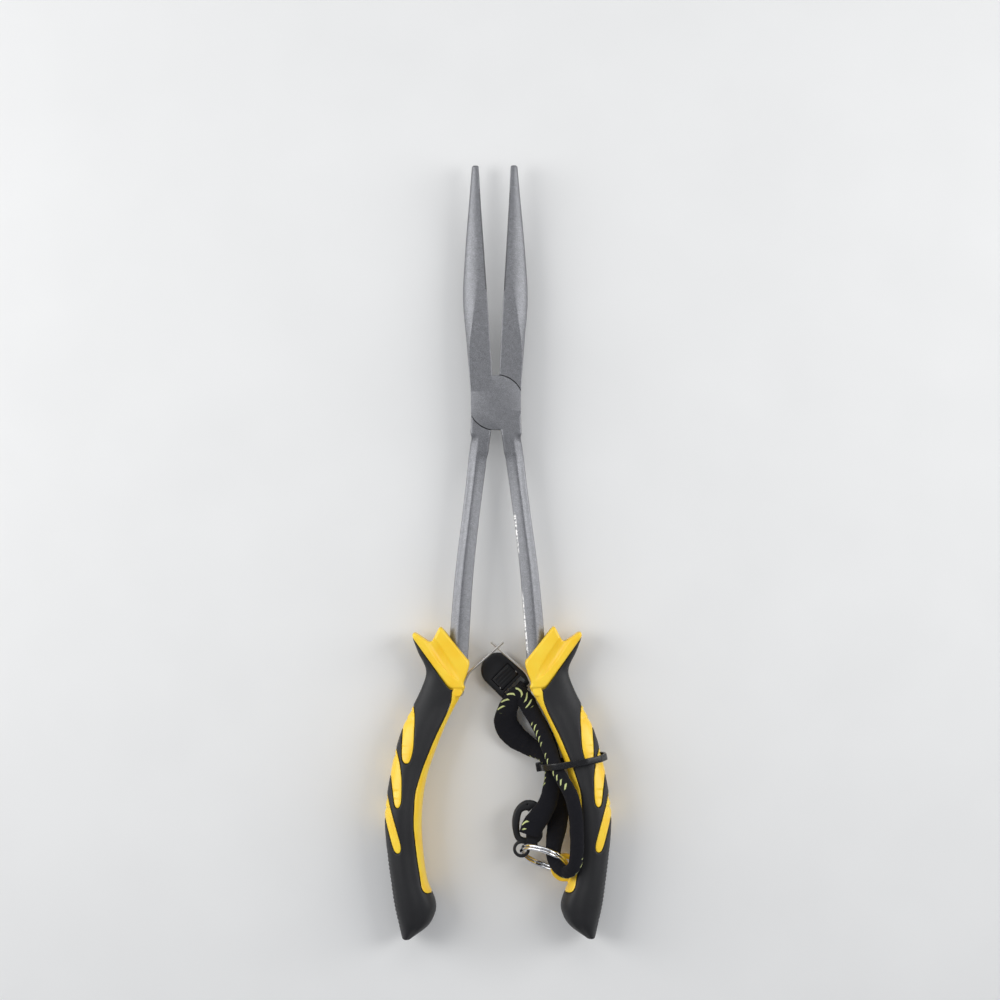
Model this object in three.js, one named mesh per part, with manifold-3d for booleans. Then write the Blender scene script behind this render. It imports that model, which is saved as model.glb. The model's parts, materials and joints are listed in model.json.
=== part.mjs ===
// Long-reach fishing pliers lying flat, with moulded handles and a lanyard tied up in a hank.
// Millimetres. +X is right, +Y runs towards the jaw tips and +Z is up from the surface at Z = 0.
// One forging is used twice: the back lever is the front lever turned half a turn about Y.
import * as THREE from "three";
import { mergeVertices } from "three/addons/utils/BufferGeometryUtils.js";
import { ParametricGeometry } from "three/addons/geometries/ParametricGeometry.js";
import Module from "manifold-3d";

const wasm = await Module();
wasm.setup();

// Driving dimensions. Lengths along Y are measured from the pivot unless a comment says otherwise.
const OVERALL_LENGTH = 280;
const JAW_REACH = 86;
const PIVOT_Y = OVERALL_LENGTH / 2 - JAW_REACH;
const MID_Z = 9.75; // height of the parting plane of the lap joint
const GAP = 0.3; // clearance between touching pieces
const FAR = 60; // reach of cutting tools past the piece
const AROUND = 16; // points round a lofted section

const JOINT_HALF_THICKNESS = 4.8;
const JOINT_HALF_WIDTH = 8.9;
const LOBE_RADIUS = 9.9;

const RIVET_RADIUS = 2.2;
const RIVET_HEAD_RADIUS = 3.4;
const RIVET_HEAD_DEPTH = 1.2;
const RIVET_TOP = 3.6; // the rivet stops below the front face, which stays unbroken

const TANG_WIDTH = 4.4;
const SPINE_WIDTH = 8.6; // core moulded round the tang
const SPINE_THICKNESS = 7.2;
const COLLAR_HALF_THICKNESS = 4.9;

const WIRE_RADIUS = 0.45;
const WIRE_LEVEL = -0.55; // the two wires cross one above the other
const COIL_RADIUS = 1.8;
const COIL_HALF_HEIGHT = 1.35;
const SPRING_PIN = { x: 14.4, y: -104.5, radius: 1.05, halfLength: 3.8 };
const POCKET_HALF_HEIGHT = 1.8;

const LUG = { x: 23.9, y: -168.5, radius: 5, hole: 3.4, halfThickness: 2 };

const RING = { x: 16.5, y: -165, radius: 9.2, wire: 1.1, turns: 2, heading: -21.8, lean: 65.8 };

const HOOK_WIDTH = 2.2;
const HOOK_THICKNESS = 2.6;
const HOOK_EYE = { x: 8.45, y: -161.75, radius: 2.75, hole: 2.05 };
const GATE_PIVOT = { x: 15, y: -154.6, radius: 1.35, pin: 0.5 };

const CLIP = { x: 0.3, y: -97.2, radius: 6.3, length: 11.5, bottom: 0.3, top: 4.3 };
const CLIP_HEADING = -45; // degrees from +X to the strap end of the clip
const CLIP_BAR = { at: 10.6, half: 0.9, low: 1.3, high: 3.1 };
const CLIP_SLOT_HALF = 1.2;
const CLIP_PIN = { at: 5.2, z: 2.8, radius: 0.5, halfLength: 5.2 };
const CLIP_LEVER = { start: 0.9, end: 6.1, halfWidth: 4, bottom: 2.5, top: 3.9, barrel: 1.15 };
const CLIP_POCKET_FLOOR = 1.2;

const STRAP_WIDTH = 4.4;
const STRAP_THICKNESS = 3.6;

const TIE_WIDTH = 2.4;
const TIE_THICKNESS = 0.9;
const TIE_TILT = 9.4;
const TIE_Y = -133.5;
const TIE_HEAD = { x: 14.6, height: 7.6, thickness: 2.6, length: 4.4, width: 3.8 };

const HOOK_LOOP = { x: 12.2, y: -158.65, length: 4.8, height: 5.4, wall: 0.7, width: 2.2 };
const CLIP_LOOP = { length: 4, height: 3.9, wall: 0.6, width: 6 };

// [y, inner x, outer x, half thickness, squareness], from the tip of the jaw to the joint.
const JAW_STATIONS = [
  [JAW_REACH, -5.8, -8.25, 1.7, 2.4],
  [77, -5.3, -9, 2.2, 2.5],
  [52, -3.75, -11.05, 3.4, 2.8],
  [38, -2.9, -11.75, 4.2, 3.5],
  [22, -1.95, -10.5, 4.8, 6],
  [4, -0.85, -9.1, 4.8, 9],
];

// The same for the shank, from the joint to where it ends inside the collar.
const SHANK_STATIONS = [
  [-3, 0.9, 8.9, 4.8, 9],
  [-13.8, 2.3, 9.5, 4.8, 6],
  [-21, 3.5, 10.1, 3.8, 3.2],
  [-41.3, 6.2, 12.5, 3.3, 3],
  [-60.9, 8.4, 15, 3.3, 3],
  [-78.7, 9.7, 16.7, 3.3, 3],
  [-93.5, 10.7, 17.6, 3.2, 3],
];

// The same for the whole handle, collar and butt included.
const HANDLE_STATIONS = [
  [-84, 24, 31, 3.4, 2.6],
  [-90, 17, 28, 4.9, 2.8],
  [-97.2, 10.7, 25.8, 4.9, 2.8],
  [-103.4, 11.5, 27.6, 4.9, 2.8],
  [-108.8, 14.8, 30.2, 5.3, 2.7],
  [-116.4, 18.7, 34, 6.7, 2.6],
  [-125.5, 22.4, 37, 7.8, 2.6],
  [-134.2, 25.4, 38.9, 8.4, 2.6],
  [-148.7, 27.6, 41.1, 9.75, 2.6],
  [-163.2, 27.1, 40.2, 9.75, 2.6],
  [-172, 25.9, 39.1, 9.75, 2.6],
  [-184, 22.8, 37.3, 9, 2.5],
  [-189, 25.4, 36.1, 8, 2.4],
  [-194, 32, 34.9, 5, 2.2],
];

const TANG_PATH = [
  [14.4, -88],
  [16.4, -95],
  [19.6, -102.5],
  [23, -111],
  [26.8, -121],
  [30.4, -135],
  [32.9, -151],
  [33.4, -168],
];

const COLLAR_OUTLINE = [
  [9.8, -93.9],
  [20.6, -80.5],
  [23.9, -86.9],
  [30.1, -82.7],
  [30.9, -84.3],
  [18, -102.4],
  [16.5, -103.4],
  [11.4, -103.4],
  [12.4, -101.6],
  [10.7, -97.2],
];

const RUBBER_OUTLINE = [
  [32, -83.3],
  [18.4, -102.9],
  [16.9, -103.8],
  [12, -103.8],
  [12, -200],
  [FAR, -200],
  [FAR, -83],
];

// Core that shows along the finger side of the handle; it runs past the handle's own edge.
const BAND_OUTLINE = [
  [16.5, -103.2],
  [16.4, -107],
  [17.9, -111.5],
  [22.9, -121.5],
  [27.2, -132],
  [29.9, -140.7],
  [30.5, -152],
  [29.4, -163],
  [27.3, -177],
  [18, -177],
  [18, -130],
  [8, -110],
  [8, -103.2],
];

// Core that shows through the rubber as slanted tongues on the palm side.
const TONGUE_OUTLINES = [
  [[30.5, -108.5], [29.8, -113.2], [30.4, -124.7], [31.6, -129.5], [33.2, -130.2], [34.5, -128.7],
    [34.6, -125.2], [34.1, -115.2], [37, -113.2], [34, -106.7]],
  [[37, -124], [35.4, -129.2], [34.6, -135.2], [34.8, -144.2], [35.9, -146.2], [37.2, -145.2],
    [38.7, -133.5], [42, -132.2], [41, -122.7]],
  [[40.2, -140.5], [38.9, -145.2], [34.8, -160], [35.4, -162.2], [37, -162], [38, -159.7],
    [41.1, -148.2], [45, -147.2], [44, -139.2]],
];

const POCKET_OUTLINE = [
  [6, -92],
  [10.9, -92.4],
  [12.8, -96.5],
  [14.4, -101.6],
  [16.8, -103],
  [16.9, -106],
  [14.4, -107.2],
  [6, -107.2],
];

const LUG_TAIL = [
  [24.5, -172.8],
  [28.2, -170.5],
  [27.4, -176],
  [26.7, -176.8],
  [25.9, -176.6],
  [25.8, -174.6],
];

const WIRE_PATH = [
  [12.75, -105.3],
  [12.5, -103],
  [11.6, -100.3],
  [10.3, -97.9],
  [8.7, -96.3],
  [3.2, -91.5],
  [-2.2, -86.7],
];

const HOOK_PATH = [
  [14.8, -148.4],
  [13.4, -145.7],
  [10.2, -145.2],
  [7.4, -147.4],
  [6.2, -151],
  [6.4, -155],
  [7.4, -157.8],
  [9, -158.65],
  [11.4, -158.65],
  [13.7, -158.65],
  [14.9, -157.4],
  [GATE_PIVOT.x, GATE_PIVOT.y],
];

// Strap from the snap hook, through the tie, round the top loop, the butt loop and to the clip.
// Points are x, y from the pivot and z above the surface.
const STRAP_ROUTE = [
  [11.8, -156.4, 13.5],
  [12.8, -153.4, 13.5],
  [15.4, -149.4, 13.6],
  [18, -144.6, 13],
  [19.3, -139, 11.4],
  [19.3, -133, 9.2],
  [17.2, -128.4, 7],
  [12.2, -124.8, 3.8],
  [7.2, -120.4, 2.8],
  [4.3, -116, 3.8],
  [3.7, -111.8, 5.7],
  [4.9, -108, 6.5],
  [7.4, -106.2, 6.6],
  [9.9, -107.8, 6.7],
  [12, -111.4, 7.1],
  [14.3, -115.6, 8.4],
  [16.7, -120.6, 10.2],
  [18.8, -125.8, 12.2],
  [20.6, -131, 14.6],
  [23.4, -136.2, 17.4],
  [26.2, -141.3, 19.9],
  [27.6, -147, 20.8],
  [28.1, -154, 21.1],
  [28.2, -161.5, 21.1],
  [27.3, -167, 20.8],
  [24.1, -169.9, 17.6],
  [20.6, -168.2, 15.8],
  [18.6, -164.3, 14],
  [18.5, -160, 12],
  [19.2, -154.6, 9.4],
  [19.9, -149, 7.2],
  [20.3, -143, 5.4],
  [20.4, -137, 4.2],
  [20.2, -131, 3.4],
  [19.3, -126, 2.4],
  [17.4, -121.2, 2.2],
  [15.2, -116.8, 2.2],
  [12.9, -112.8, 2.2],
  [11.2, -109.6, 2.2],
  [9.6, -106.9, 2.2],
];
const STRAP_STEPS = 78;

// Inside of the tie, seen along the handle: x across, z above the surface.
const TIE_OUTLINE = [
  [16.2, 3.2],
  [18.6, 1.3],
  [26, 1.1],
  [35, 1.1],
  [38.6, 5.4],
  [39.1, 12.5],
  [36.8, 17.4],
  [32, 18.9],
  [26, 18.9],
  [20.6, 18],
  [17, 14.6],
  [15.9, 9],
];

function paint(color, roughness, metalness = 0) {
  return new THREE.MeshStandardMaterial({ color, roughness, metalness });
}
const COATED_STEEL = paint(0x8c8d92, 0.5, 0.6);
const BRIGHT_STEEL = paint(0xd8d8d6, 0.25, 1);
const YELLOW_PLASTIC = paint(0xf7cf2b, 0.45);
const BLACK_RUBBER = paint(0x303133, 0.7);
const BLACK_PLASTIC = paint(0x2a2a2c, 0.4);
const BLACK_FABRIC = paint(0x1d1e22, 0.9);

// A closed geometry as a manifold solid with its faces pointing out.
function solid(geometry) {
  geometry.deleteAttribute("normal");
  geometry.deleteAttribute("uv");
  const merged = mergeVertices(geometry, 1e-4);
  const corners = merged.index.array;
  const kept = [];
  for (let i = 0; i < corners.length; i += 3) {
    const [a, b, c] = [corners[i], corners[i + 1], corners[i + 2]];
    if (a !== b && b !== c && c !== a) kept.push(a, b, c);
  }
  const vertProperties = merged.attributes.position.array;
  const make = (order) =>
    new wasm.Manifold(new wasm.Mesh({ numProp: 3, vertProperties, triVerts: new Uint32Array(order) }));
  const body = make(kept);
  return body.volume() > 0 ? body : make(kept.reverse());
}

function join(...bodies) {
  return bodies.reduce((sum, body) => sum.add(body));
}

function meshOf(name, body, material) {
  const { vertProperties, triVerts } = body.getMesh();
  const geometry = new THREE.BufferGeometry();
  geometry.setAttribute("position", new THREE.BufferAttribute(vertProperties, 3));
  geometry.setIndex(new THREE.BufferAttribute(triVerts, 1));
  const flat = geometry.toNonIndexed();
  flat.computeVertexNormals();
  const mesh = new THREE.Mesh(flat, material);
  mesh.name = name;
  return mesh;
}

function shapeOf(points) {
  return new THREE.Shape(points.map(([x, y]) => new THREE.Vector2(x, y)));
}

// A plan outline given height from low to high.
function slab(shape, low, high) {
  const depth = high - low;
  return solid(new THREE.ExtrudeGeometry(shape, { depth, bevelEnabled: false }).translate(0, 0, low));
}

function cylinder(x, y, radius, low, high, sides = 32) {
  const post = new THREE.CylinderGeometry(radius, radius, high - low, sides).rotateX(Math.PI / 2);
  return solid(post.translate(x, y, (low + high) / 2));
}

// An outline with every edge moved outwards by a distance.
function grown(points, distance) {
  const turn = THREE.ShapeUtils.isClockWise(points.map(([x, y]) => ({ x, y }))) ? -1 : 1;
  const count = points.length;
  return points.map(([x, y], i) => {
    const before = points[(i + count - 1) % count];
    const after = points[(i + 1) % count];
    const arriving = new THREE.Vector2(x - before[0], y - before[1]).normalize();
    const leaving = new THREE.Vector2(after[0] - x, after[1] - y).normalize();
    const middle = arriving.clone().add(leaving).normalize();
    const stretch = (turn * distance) / Math.max(0.4, middle.dot(leaving));
    return [x + middle.y * stretch, y - middle.x * stretch];
  });
}

// A closed oval with a flat facet at its top, its bottom and both sides.
function oval(part, [, inner, outer, half, squareness]) {
  const angle = (part + 0.5 / AROUND) * 2 * Math.PI;
  const bulge = (value) => Math.sign(value) * Math.abs(value) ** (2 / squareness);
  const full = bulge(Math.cos(Math.PI / AROUND));
  const x = (inner + outer) / 2 + (((outer - inner) / 2) * bulge(Math.cos(angle))) / full;
  return [x, (half * bulge(Math.sin(angle))) / full];
}

// A half-round section whose flat side is at the inner x: the last quarter of the ring is the flat.
function halfRound(part, [, inner, outer, half, squareness]) {
  if (part > 0.76) return [inner, half * (1 - (part - 0.75) * 8)];
  const angle = (part / 0.75 - 0.5) * Math.PI;
  const x = inner + (outer - inner) * Math.abs(Math.cos(angle)) ** (2 / squareness);
  return [x, half * Math.sign(angle) * Math.abs(Math.sin(angle)) ** (2 / squareness)];
}

// A body drawn smoothly through stations, each a closed section across Y, capped at both ends.
function loft(stations, section, rows) {
  const curve = (points) => new THREE.CatmullRomCurve3(points.map((p) => new THREE.Vector3(...p)));
  const low = curve(stations.map(([y, inner, outer]) => [y, inner, outer]));
  const high = curve(stations.map(([, , , half, squareness]) => [half, squareness, 0]));
  const last = rows + 2;
  const surface = new ParametricGeometry(
    (around, along, target) => {
      const row = Math.round(along * last);
      const at = THREE.MathUtils.clamp((row - 1) / (last - 2), 0, 1);
      const a = low.getPoint(at);
      const b = high.getPoint(at);
      if (row === 0 || row === last) return target.set((a.y + a.z) / 2, a.x, 0);
      const half = Math.min(b.x, MID_Z); // nothing reaches below the surface
      const [x, z] = section(around % 1, [a.x, a.y, a.z, half, b.y]);
      return target.set(x, a.x, z);
    },
    AROUND,
    last,
  );
  return solid(surface);
}

function loosened(stations, gap) {
  return stations.map(([y, inner, outer, half, squareness]) => [
    y, inner - gap, outer + gap, half + gap, squareness,
  ]);
}

// A bar along a path: thickness is across the path's own plane, width lies in it.
function bar(points, width, thickness, steps) {
  const w = width / 2;
  const t = thickness / 2;
  const section = shapeOf([[-t, -w], [t, -w], [t, w], [-t, w]]);
  return along(points, section, steps);
}

function along(points, section, steps) {
  const route = points.map(([x, y, z = 0]) => new THREE.Vector3(x, y, z));
  const extrudePath = new THREE.CatmullRomCurve3(route);
  return solid(new THREE.ExtrudeGeometry(section, { steps, extrudePath, bevelEnabled: false }));
}

function roundSection(radiusX, radiusY, sides) {
  const corners = Array.from({ length: sides }, (_, i) => ((i + 0.5) / sides) * 2 * Math.PI);
  return shapeOf(corners.map((a) => [radiusX * Math.cos(a), radiusY * Math.sin(a)]));
}

// Jaw on -X, shank on +X, lobe on top: the half of the lap joint inside the clearance circle goes.
function leverBody() {
  const strip = shapeOf([
    [-JOINT_HALF_WIDTH, -LOBE_RADIUS],
    [JOINT_HALF_WIDTH, -LOBE_RADIUS],
    [JOINT_HALF_WIDTH, LOBE_RADIUS],
    [-JOINT_HALF_WIDTH, LOBE_RADIUS],
  ]);
  const lobe = slab(strip, 0, JOINT_HALF_THICKNESS).intersect(
    cylinder(0, 0, LOBE_RADIUS, -FAR, FAR, 48),
  );
  const jaw = loft(JAW_STATIONS, halfRound, 14);
  const shank = loft(SHANK_STATIONS, oval, 14);
  const tang = bar(TANG_PATH, TANG_WIDTH, TANG_WIDTH, 12);
  const clearance = cylinder(0, 0, LOBE_RADIUS + GAP, -FAR, GAP / 2, 48);
  return join(jaw, lobe, shank, tang).subtract(clearance);
}

// The rivet is fixed in the front lever, so its hole there only has the fitting gap.
function frontLever() {
  return leverBody().subtract(cylinder(0, 0, RIVET_RADIUS + GAP, -FAR, RIVET_TOP + GAP));
}

// Turned half a turn about Y, this lever's own front is the back of the pliers.
function backLever() {
  const countersink = cylinder(
    0, 0, RIVET_HEAD_RADIUS + GAP, JOINT_HALF_THICKNESS - RIVET_HEAD_DEPTH - GAP, FAR,
  );
  return leverBody().subtract(cylinder(0, 0, RIVET_RADIUS + GAP, -FAR, FAR)).subtract(countersink);
}

function rivet() {
  const head = cylinder(
    0, 0, RIVET_HEAD_RADIUS, -JOINT_HALF_THICKNESS, RIVET_HEAD_DEPTH - JOINT_HALF_THICKNESS,
  );
  return join(head, cylinder(0, 0, RIVET_RADIUS, -JOINT_HALF_THICKNESS, RIVET_TOP));
}

function wholeHandle() {
  return loft(HANDLE_STATIONS, oval, 22);
}

function handleCore(handle) {
  const shown = [BAND_OUTLINE, ...TONGUE_OUTLINES].map((outline) => slab(shapeOf(outline), -FAR, FAR));
  const skin = handle.intersect(join(...shown));
  const collar = slab(shapeOf(COLLAR_OUTLINE), -COLLAR_HALF_THICKNESS, COLLAR_HALF_THICKNESS);
  const spine = bar(TANG_PATH.slice(1), SPINE_WIDTH, SPINE_THICKNESS, 10);
  const shankHole = loft(loosened(SHANK_STATIONS, GAP), oval, 14);
  const tangHole = bar(TANG_PATH, TANG_WIDTH + 2 * GAP, TANG_WIDTH + 2 * GAP, 12);
  const tangEnd = block(TANG_PATH.at(-1), TANG_WIDTH / 2 + GAP, TANG_WIDTH / 2);
  const pocket = slab(shapeOf(POCKET_OUTLINE), -POCKET_HALF_HEIGHT, POCKET_HALF_HEIGHT);
  const reach = SPRING_PIN.halfLength + GAP;
  const pinHole = cylinder(SPRING_PIN.x, SPRING_PIN.y, SPRING_PIN.radius + GAP, -reach, reach, 16);
  return join(skin, collar, spine).subtract(join(shankHole, tangHole, tangEnd, pocket, pinHole));
}

function block([x, y], half, halfHeight) {
  const box = new THREE.BoxGeometry(2 * half, 2 * half, 2 * halfHeight);
  return solid(box.translate(x, y, 0));
}

function lug() {
  const { x, y, radius, hole, halfThickness } = LUG;
  const eye = cylinder(x, y, radius, -halfThickness, halfThickness, 28);
  const tail = slab(shapeOf(LUG_TAIL), -halfThickness, halfThickness);
  return join(eye, tail).subtract(cylinder(x, y, hole, -FAR, FAR, 24));
}

function rubberGrip(handle, lugHole) {
  const outlines = [BAND_OUTLINE, ...TONGUE_OUTLINES].map((outline) => grown(outline, GAP));
  const shown = outlines.map((outline) => slab(shapeOf(outline), -FAR, FAR));
  const spine = bar(TANG_PATH.slice(1), SPINE_WIDTH + 2 * GAP, SPINE_THICKNESS + 2 * GAP, 10);
  const spineEnd = block(TANG_PATH.at(-1), SPINE_WIDTH / 2 + GAP, SPINE_THICKNESS / 2);
  const grip = handle
    .intersect(slab(shapeOf(RUBBER_OUTLINE), -FAR, FAR))
    .subtract(join(spine, spineEnd, ...shown));
  return lugHole ? grip.subtract(lugHole) : grip;
}

function lugClearance() {
  const reach = LUG.halfThickness + GAP;
  return cylinder(LUG.x, LUG.y, LUG.radius + GAP, -reach, reach, 28);
}

// A ring about Z whose section is a rectangle.
function flatRing(inner, outer, halfHeight, sides) {
  const corners = [[inner, -1], [outer, -1], [outer, 1], [inner, 1], [inner, -1]];
  const profile = corners.map(([radius, side]) => new THREE.Vector2(radius, side * halfHeight));
  return new THREE.LatheGeometry(profile, sides).rotateX(Math.PI / 2);
}

function springWire() {
  const inner = COIL_RADIUS - WIRE_RADIUS;
  const outer = COIL_RADIUS + WIRE_RADIUS;
  const ring = flatRing(inner, outer, COIL_HALF_HEIGHT, 18);
  const coil = solid(ring.translate(SPRING_PIN.x, SPRING_PIN.y, 0));
  const arm = WIRE_PATH.map(([x, y]) => [x, y, WIRE_LEVEL]);
  return join(coil, along(arm, roundSection(WIRE_RADIUS, WIRE_RADIUS, 8), 16));
}

function springPin() {
  const { x, y, radius, halfLength } = SPRING_PIN;
  return cylinder(x, y, radius, -halfLength, halfLength, 16);
}

// One lever with its moulded handle and spring wire. Only the right core carries the lug.
function half(name, lever, leverName, hasLug) {
  const handle = wholeHandle();
  const core = hasLug ? handleCore(handle).add(lug()) : handleCore(handle);
  const lugHole = hasLug ? lugClearance() : null;
  const group = new THREE.Group();
  group.add(
    meshOf(leverName, lever, COATED_STEEL),
    meshOf(name + "_handle_core", core, YELLOW_PLASTIC),
    meshOf(name + "_grip", rubberGrip(handle, lugHole), BLACK_RUBBER),
    meshOf(name + "_spring_wire", springWire(), BRIGHT_STEEL),
    meshOf(name + "_spring_pin", springPin(), BRIGHT_STEEL),
  );
  return group;
}

// Two flat turns of wire, leaning in the lug.
function splitRing() {
  const { x, y, radius, wire, turns, heading, lean } = RING;
  const halfHeight = (wire * turns) / 2;
  const ring = flatRing(radius - wire, radius, halfHeight, 40);
  const mesh = meshOf("split_ring", solid(ring), BRIGHT_STEEL);
  mesh.rotation.set(THREE.MathUtils.degToRad(lean), 0, THREE.MathUtils.degToRad(heading), "ZXY");
  mesh.position.set(x, y, 0);
  return mesh;
}

function snapHookBody() {
  const t = HOOK_THICKNESS / 2;
  const frame = bar(HOOK_PATH, HOOK_WIDTH, HOOK_THICKNESS, 40);
  const eye = cylinder(HOOK_EYE.x, HOOK_EYE.y, HOOK_EYE.radius, -t, t, 24);
  const boss = cylinder(GATE_PIVOT.x, GATE_PIVOT.y, GATE_PIVOT.radius, -t, t, 16);
  const cut = join(
    cylinder(HOOK_EYE.x, HOOK_EYE.y, HOOK_EYE.hole, -FAR, FAR, 20),
    cylinder(GATE_PIVOT.x, GATE_PIVOT.y, GATE_PIVOT.radius + GAP, -GAP / 2, FAR, 16),
    cylinder(GATE_PIVOT.x, GATE_PIVOT.y, GATE_PIVOT.pin + GAP / 2, -FAR, FAR, 12),
  );
  return join(frame, eye, boss).subtract(cut);
}

function snapHookGate() {
  const t = HOOK_THICKNESS / 2;
  const { x, y, radius, pin } = GATE_PIVOT;
  const path = [[x, y], [x + 0.05, y + 2.6], [x - 0.1, y + 5.2]];
  const leaf = bar(path, HOOK_WIDTH - 0.4, HOOK_THICKNESS, 4);
  const below = cylinder(x, y, radius + 2 * GAP, -FAR, GAP / 2, 16);
  const hole = cylinder(x, y, pin + GAP / 2, -FAR, FAR, 12);
  return join(leaf, cylinder(x, y, radius, -t, t, 16)).subtract(join(below, hole));
}

function snapHookPin() {
  const t = HOOK_THICKNESS / 2;
  return cylinder(GATE_PIVOT.x, GATE_PIVOT.y, GATE_PIVOT.pin, -t, t, 12);
}

// The strap's sewn end round a bar: a flattened ring that the bar passes through.
function strapLoop({ length, height, wall, width }) {
  const a = length / 2;
  const b = height / 2;
  const ring = roundSection(a, b, 16);
  ring.holes.push(roundSection(a - wall, b - wall, 16));
  return solid(
    new THREE.ExtrudeGeometry(ring, { depth: width, bevelEnabled: false })
      .translate(0, 0, -width / 2)
      .rotateX(Math.PI / 2),
  );
}

// Along X from the round end; the clip is then turned to its heading.
function clipBody() {
  const { radius, length, bottom, top } = CLIP;
  const plan = new THREE.Shape();
  plan.moveTo(length, -radius);
  plan.lineTo(length, radius);
  plan.lineTo(0, radius);
  plan.absarc(0, 0, radius, Math.PI / 2, 1.5 * Math.PI, false);
  const { start, end, halfWidth } = CLIP_LEVER;
  const pocket = rectangle(start - GAP, end + GAP, halfWidth + GAP);
  const slotStart = CLIP_BAR.at - CLIP_BAR.half;
  const window = rectangle(slotStart - 2 * CLIP_SLOT_HALF, slotStart, radius - 2);
  const overBar = rectangle(slotStart, FAR, radius - 2);
  const pinHole = clipPinAt(CLIP_PIN.radius + GAP / 2, CLIP_PIN.halfLength + GAP / 2);
  return slab(plan, bottom, top)
    .subtract(slab(pocket, CLIP_POCKET_FLOOR, FAR))
    .subtract(slab(window, -FAR, FAR))
    .subtract(slab(overBar, CLIP_BAR.high, FAR))
    .subtract(slab(overBar, -FAR, CLIP_BAR.low))
    .subtract(pinHole);
}

function rectangle(start, end, halfWidth) {
  return shapeOf([[start, -halfWidth], [end, -halfWidth], [end, halfWidth], [start, halfWidth]]);
}

function clipPinAt(radius, halfLength) {
  const pin = new THREE.CylinderGeometry(radius, radius, 2 * halfLength, 12);
  return solid(pin.translate(CLIP_PIN.at, 0, CLIP_PIN.z));
}

function clipLever() {
  const { start, end, halfWidth, bottom, top, barrel } = CLIP_LEVER;
  const plate = slab(rectangle(start, end, halfWidth), bottom, top);
  const ribs = [0, 1, 2].map((i) => slab(clipRib(start + 0.5 + 1.2 * i), bottom, CLIP.top));
  const hinge = clipPinAt(barrel, halfWidth);
  return join(plate, hinge, ...ribs).subtract(clipPinAt(CLIP_PIN.radius + GAP / 2, FAR));
}

function clipRib(x) {
  return rectangle(x, x + 0.6, CLIP_LEVER.halfWidth - 0.6);
}

// The band stands across the handle, tilted in plan; its head sits on the strap side.
function cableTie() {
  const inside = shapeOf(TIE_OUTLINE);
  const outline = shapeOf(grown(TIE_OUTLINE, TIE_THICKNESS));
  outline.holes.push(inside);
  const band = solid(new THREE.ExtrudeGeometry(outline, { depth: TIE_WIDTH, bevelEnabled: false }));
  const { x, height, width, length, thickness } = TIE_HEAD;
  const head = new THREE.BoxGeometry(thickness, length, width).translate(x, height, TIE_WIDTH / 2);
  const core = slab(inside, -TIE_WIDTH, 2 * TIE_WIDTH);
  const mesh = meshOf("hank_tie", join(band, solid(head).subtract(core)), BLACK_PLASTIC);
  mesh.rotation.set(Math.PI / 2, 0, THREE.MathUtils.degToRad(TIE_TILT), "ZXY");
  mesh.position.set(0, TIE_Y, 0);
  return mesh;
}

// Free pieces whose heights are measured from the surface, not from the parting plane.
function lanyard() {
  const section = roundSection(STRAP_THICKNESS / 2, STRAP_WIDTH / 2, 8);
  const strap = along(STRAP_ROUTE, section, STRAP_STEPS);
  const hookLoop = meshOf("strap_hook_loop", strapLoop(HOOK_LOOP), BLACK_FABRIC);
  hookLoop.rotation.z = Math.PI / 2;
  hookLoop.position.set(HOOK_LOOP.x, HOOK_LOOP.y, MID_Z);
  const group = new THREE.Group();
  group.add(meshOf("lanyard_strap", strap, BLACK_FABRIC), hookLoop, cableTie(), clip());
  return group;
}

function clip() {
  const loop = meshOf("strap_clip_loop", strapLoop(CLIP_LOOP), BLACK_FABRIC);
  loop.position.set(CLIP_BAR.at, 0, (CLIP_BAR.low + CLIP_BAR.high) / 2);
  const pin = clipPinAt(CLIP_PIN.radius, CLIP_PIN.halfLength);
  const group = new THREE.Group();
  group.add(
    meshOf("belt_clip_body", clipBody(), BLACK_PLASTIC),
    meshOf("belt_clip_lever", clipLever(), BLACK_PLASTIC),
    meshOf("belt_clip_pin", pin, BRIGHT_STEEL),
    loop,
  );
  group.position.set(CLIP.x, CLIP.y, 0);
  group.rotation.z = THREE.MathUtils.degToRad(CLIP_HEADING);
  return group;
}

function snapHook() {
  const group = new THREE.Group();
  group.add(
    meshOf("snap_hook_body", snapHookBody(), BLACK_PLASTIC),
    meshOf("snap_hook_gate", snapHookGate(), BLACK_PLASTIC),
    meshOf("snap_hook_pin", snapHookPin(), BRIGHT_STEEL),
  );
  return group;
}

const rightHalf = half("right", frontLever(), "front_lever", true);
const leftHalf = half("left", backLever(), "back_lever", false);
leftHalf.rotation.y = Math.PI;

const pliers = new THREE.Group();
pliers.position.set(0, PIVOT_Y, MID_Z);
pliers.add(rightHalf, leftHalf, meshOf("pivot_rivet", rivet(), COATED_STEEL), splitRing(), snapHook());

const tied = lanyard();
tied.position.y = PIVOT_Y;

const fishingPliers = new THREE.Group();
fishingPliers.add(pliers, tied);
export default fishingPliers;
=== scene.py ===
"""Fishing pliers with a tied-up lanyard: the visible pieces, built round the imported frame.

Each piece is drawn in millimetres round the pivot: x across, v along the tool towards the jaw tips, z up
from the parting plane. It becomes metres in the row frame when it is finished.
"""
import json
import math

import bmesh
import bpy
import numpy as np
from mathutils import Matrix, Vector


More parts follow.
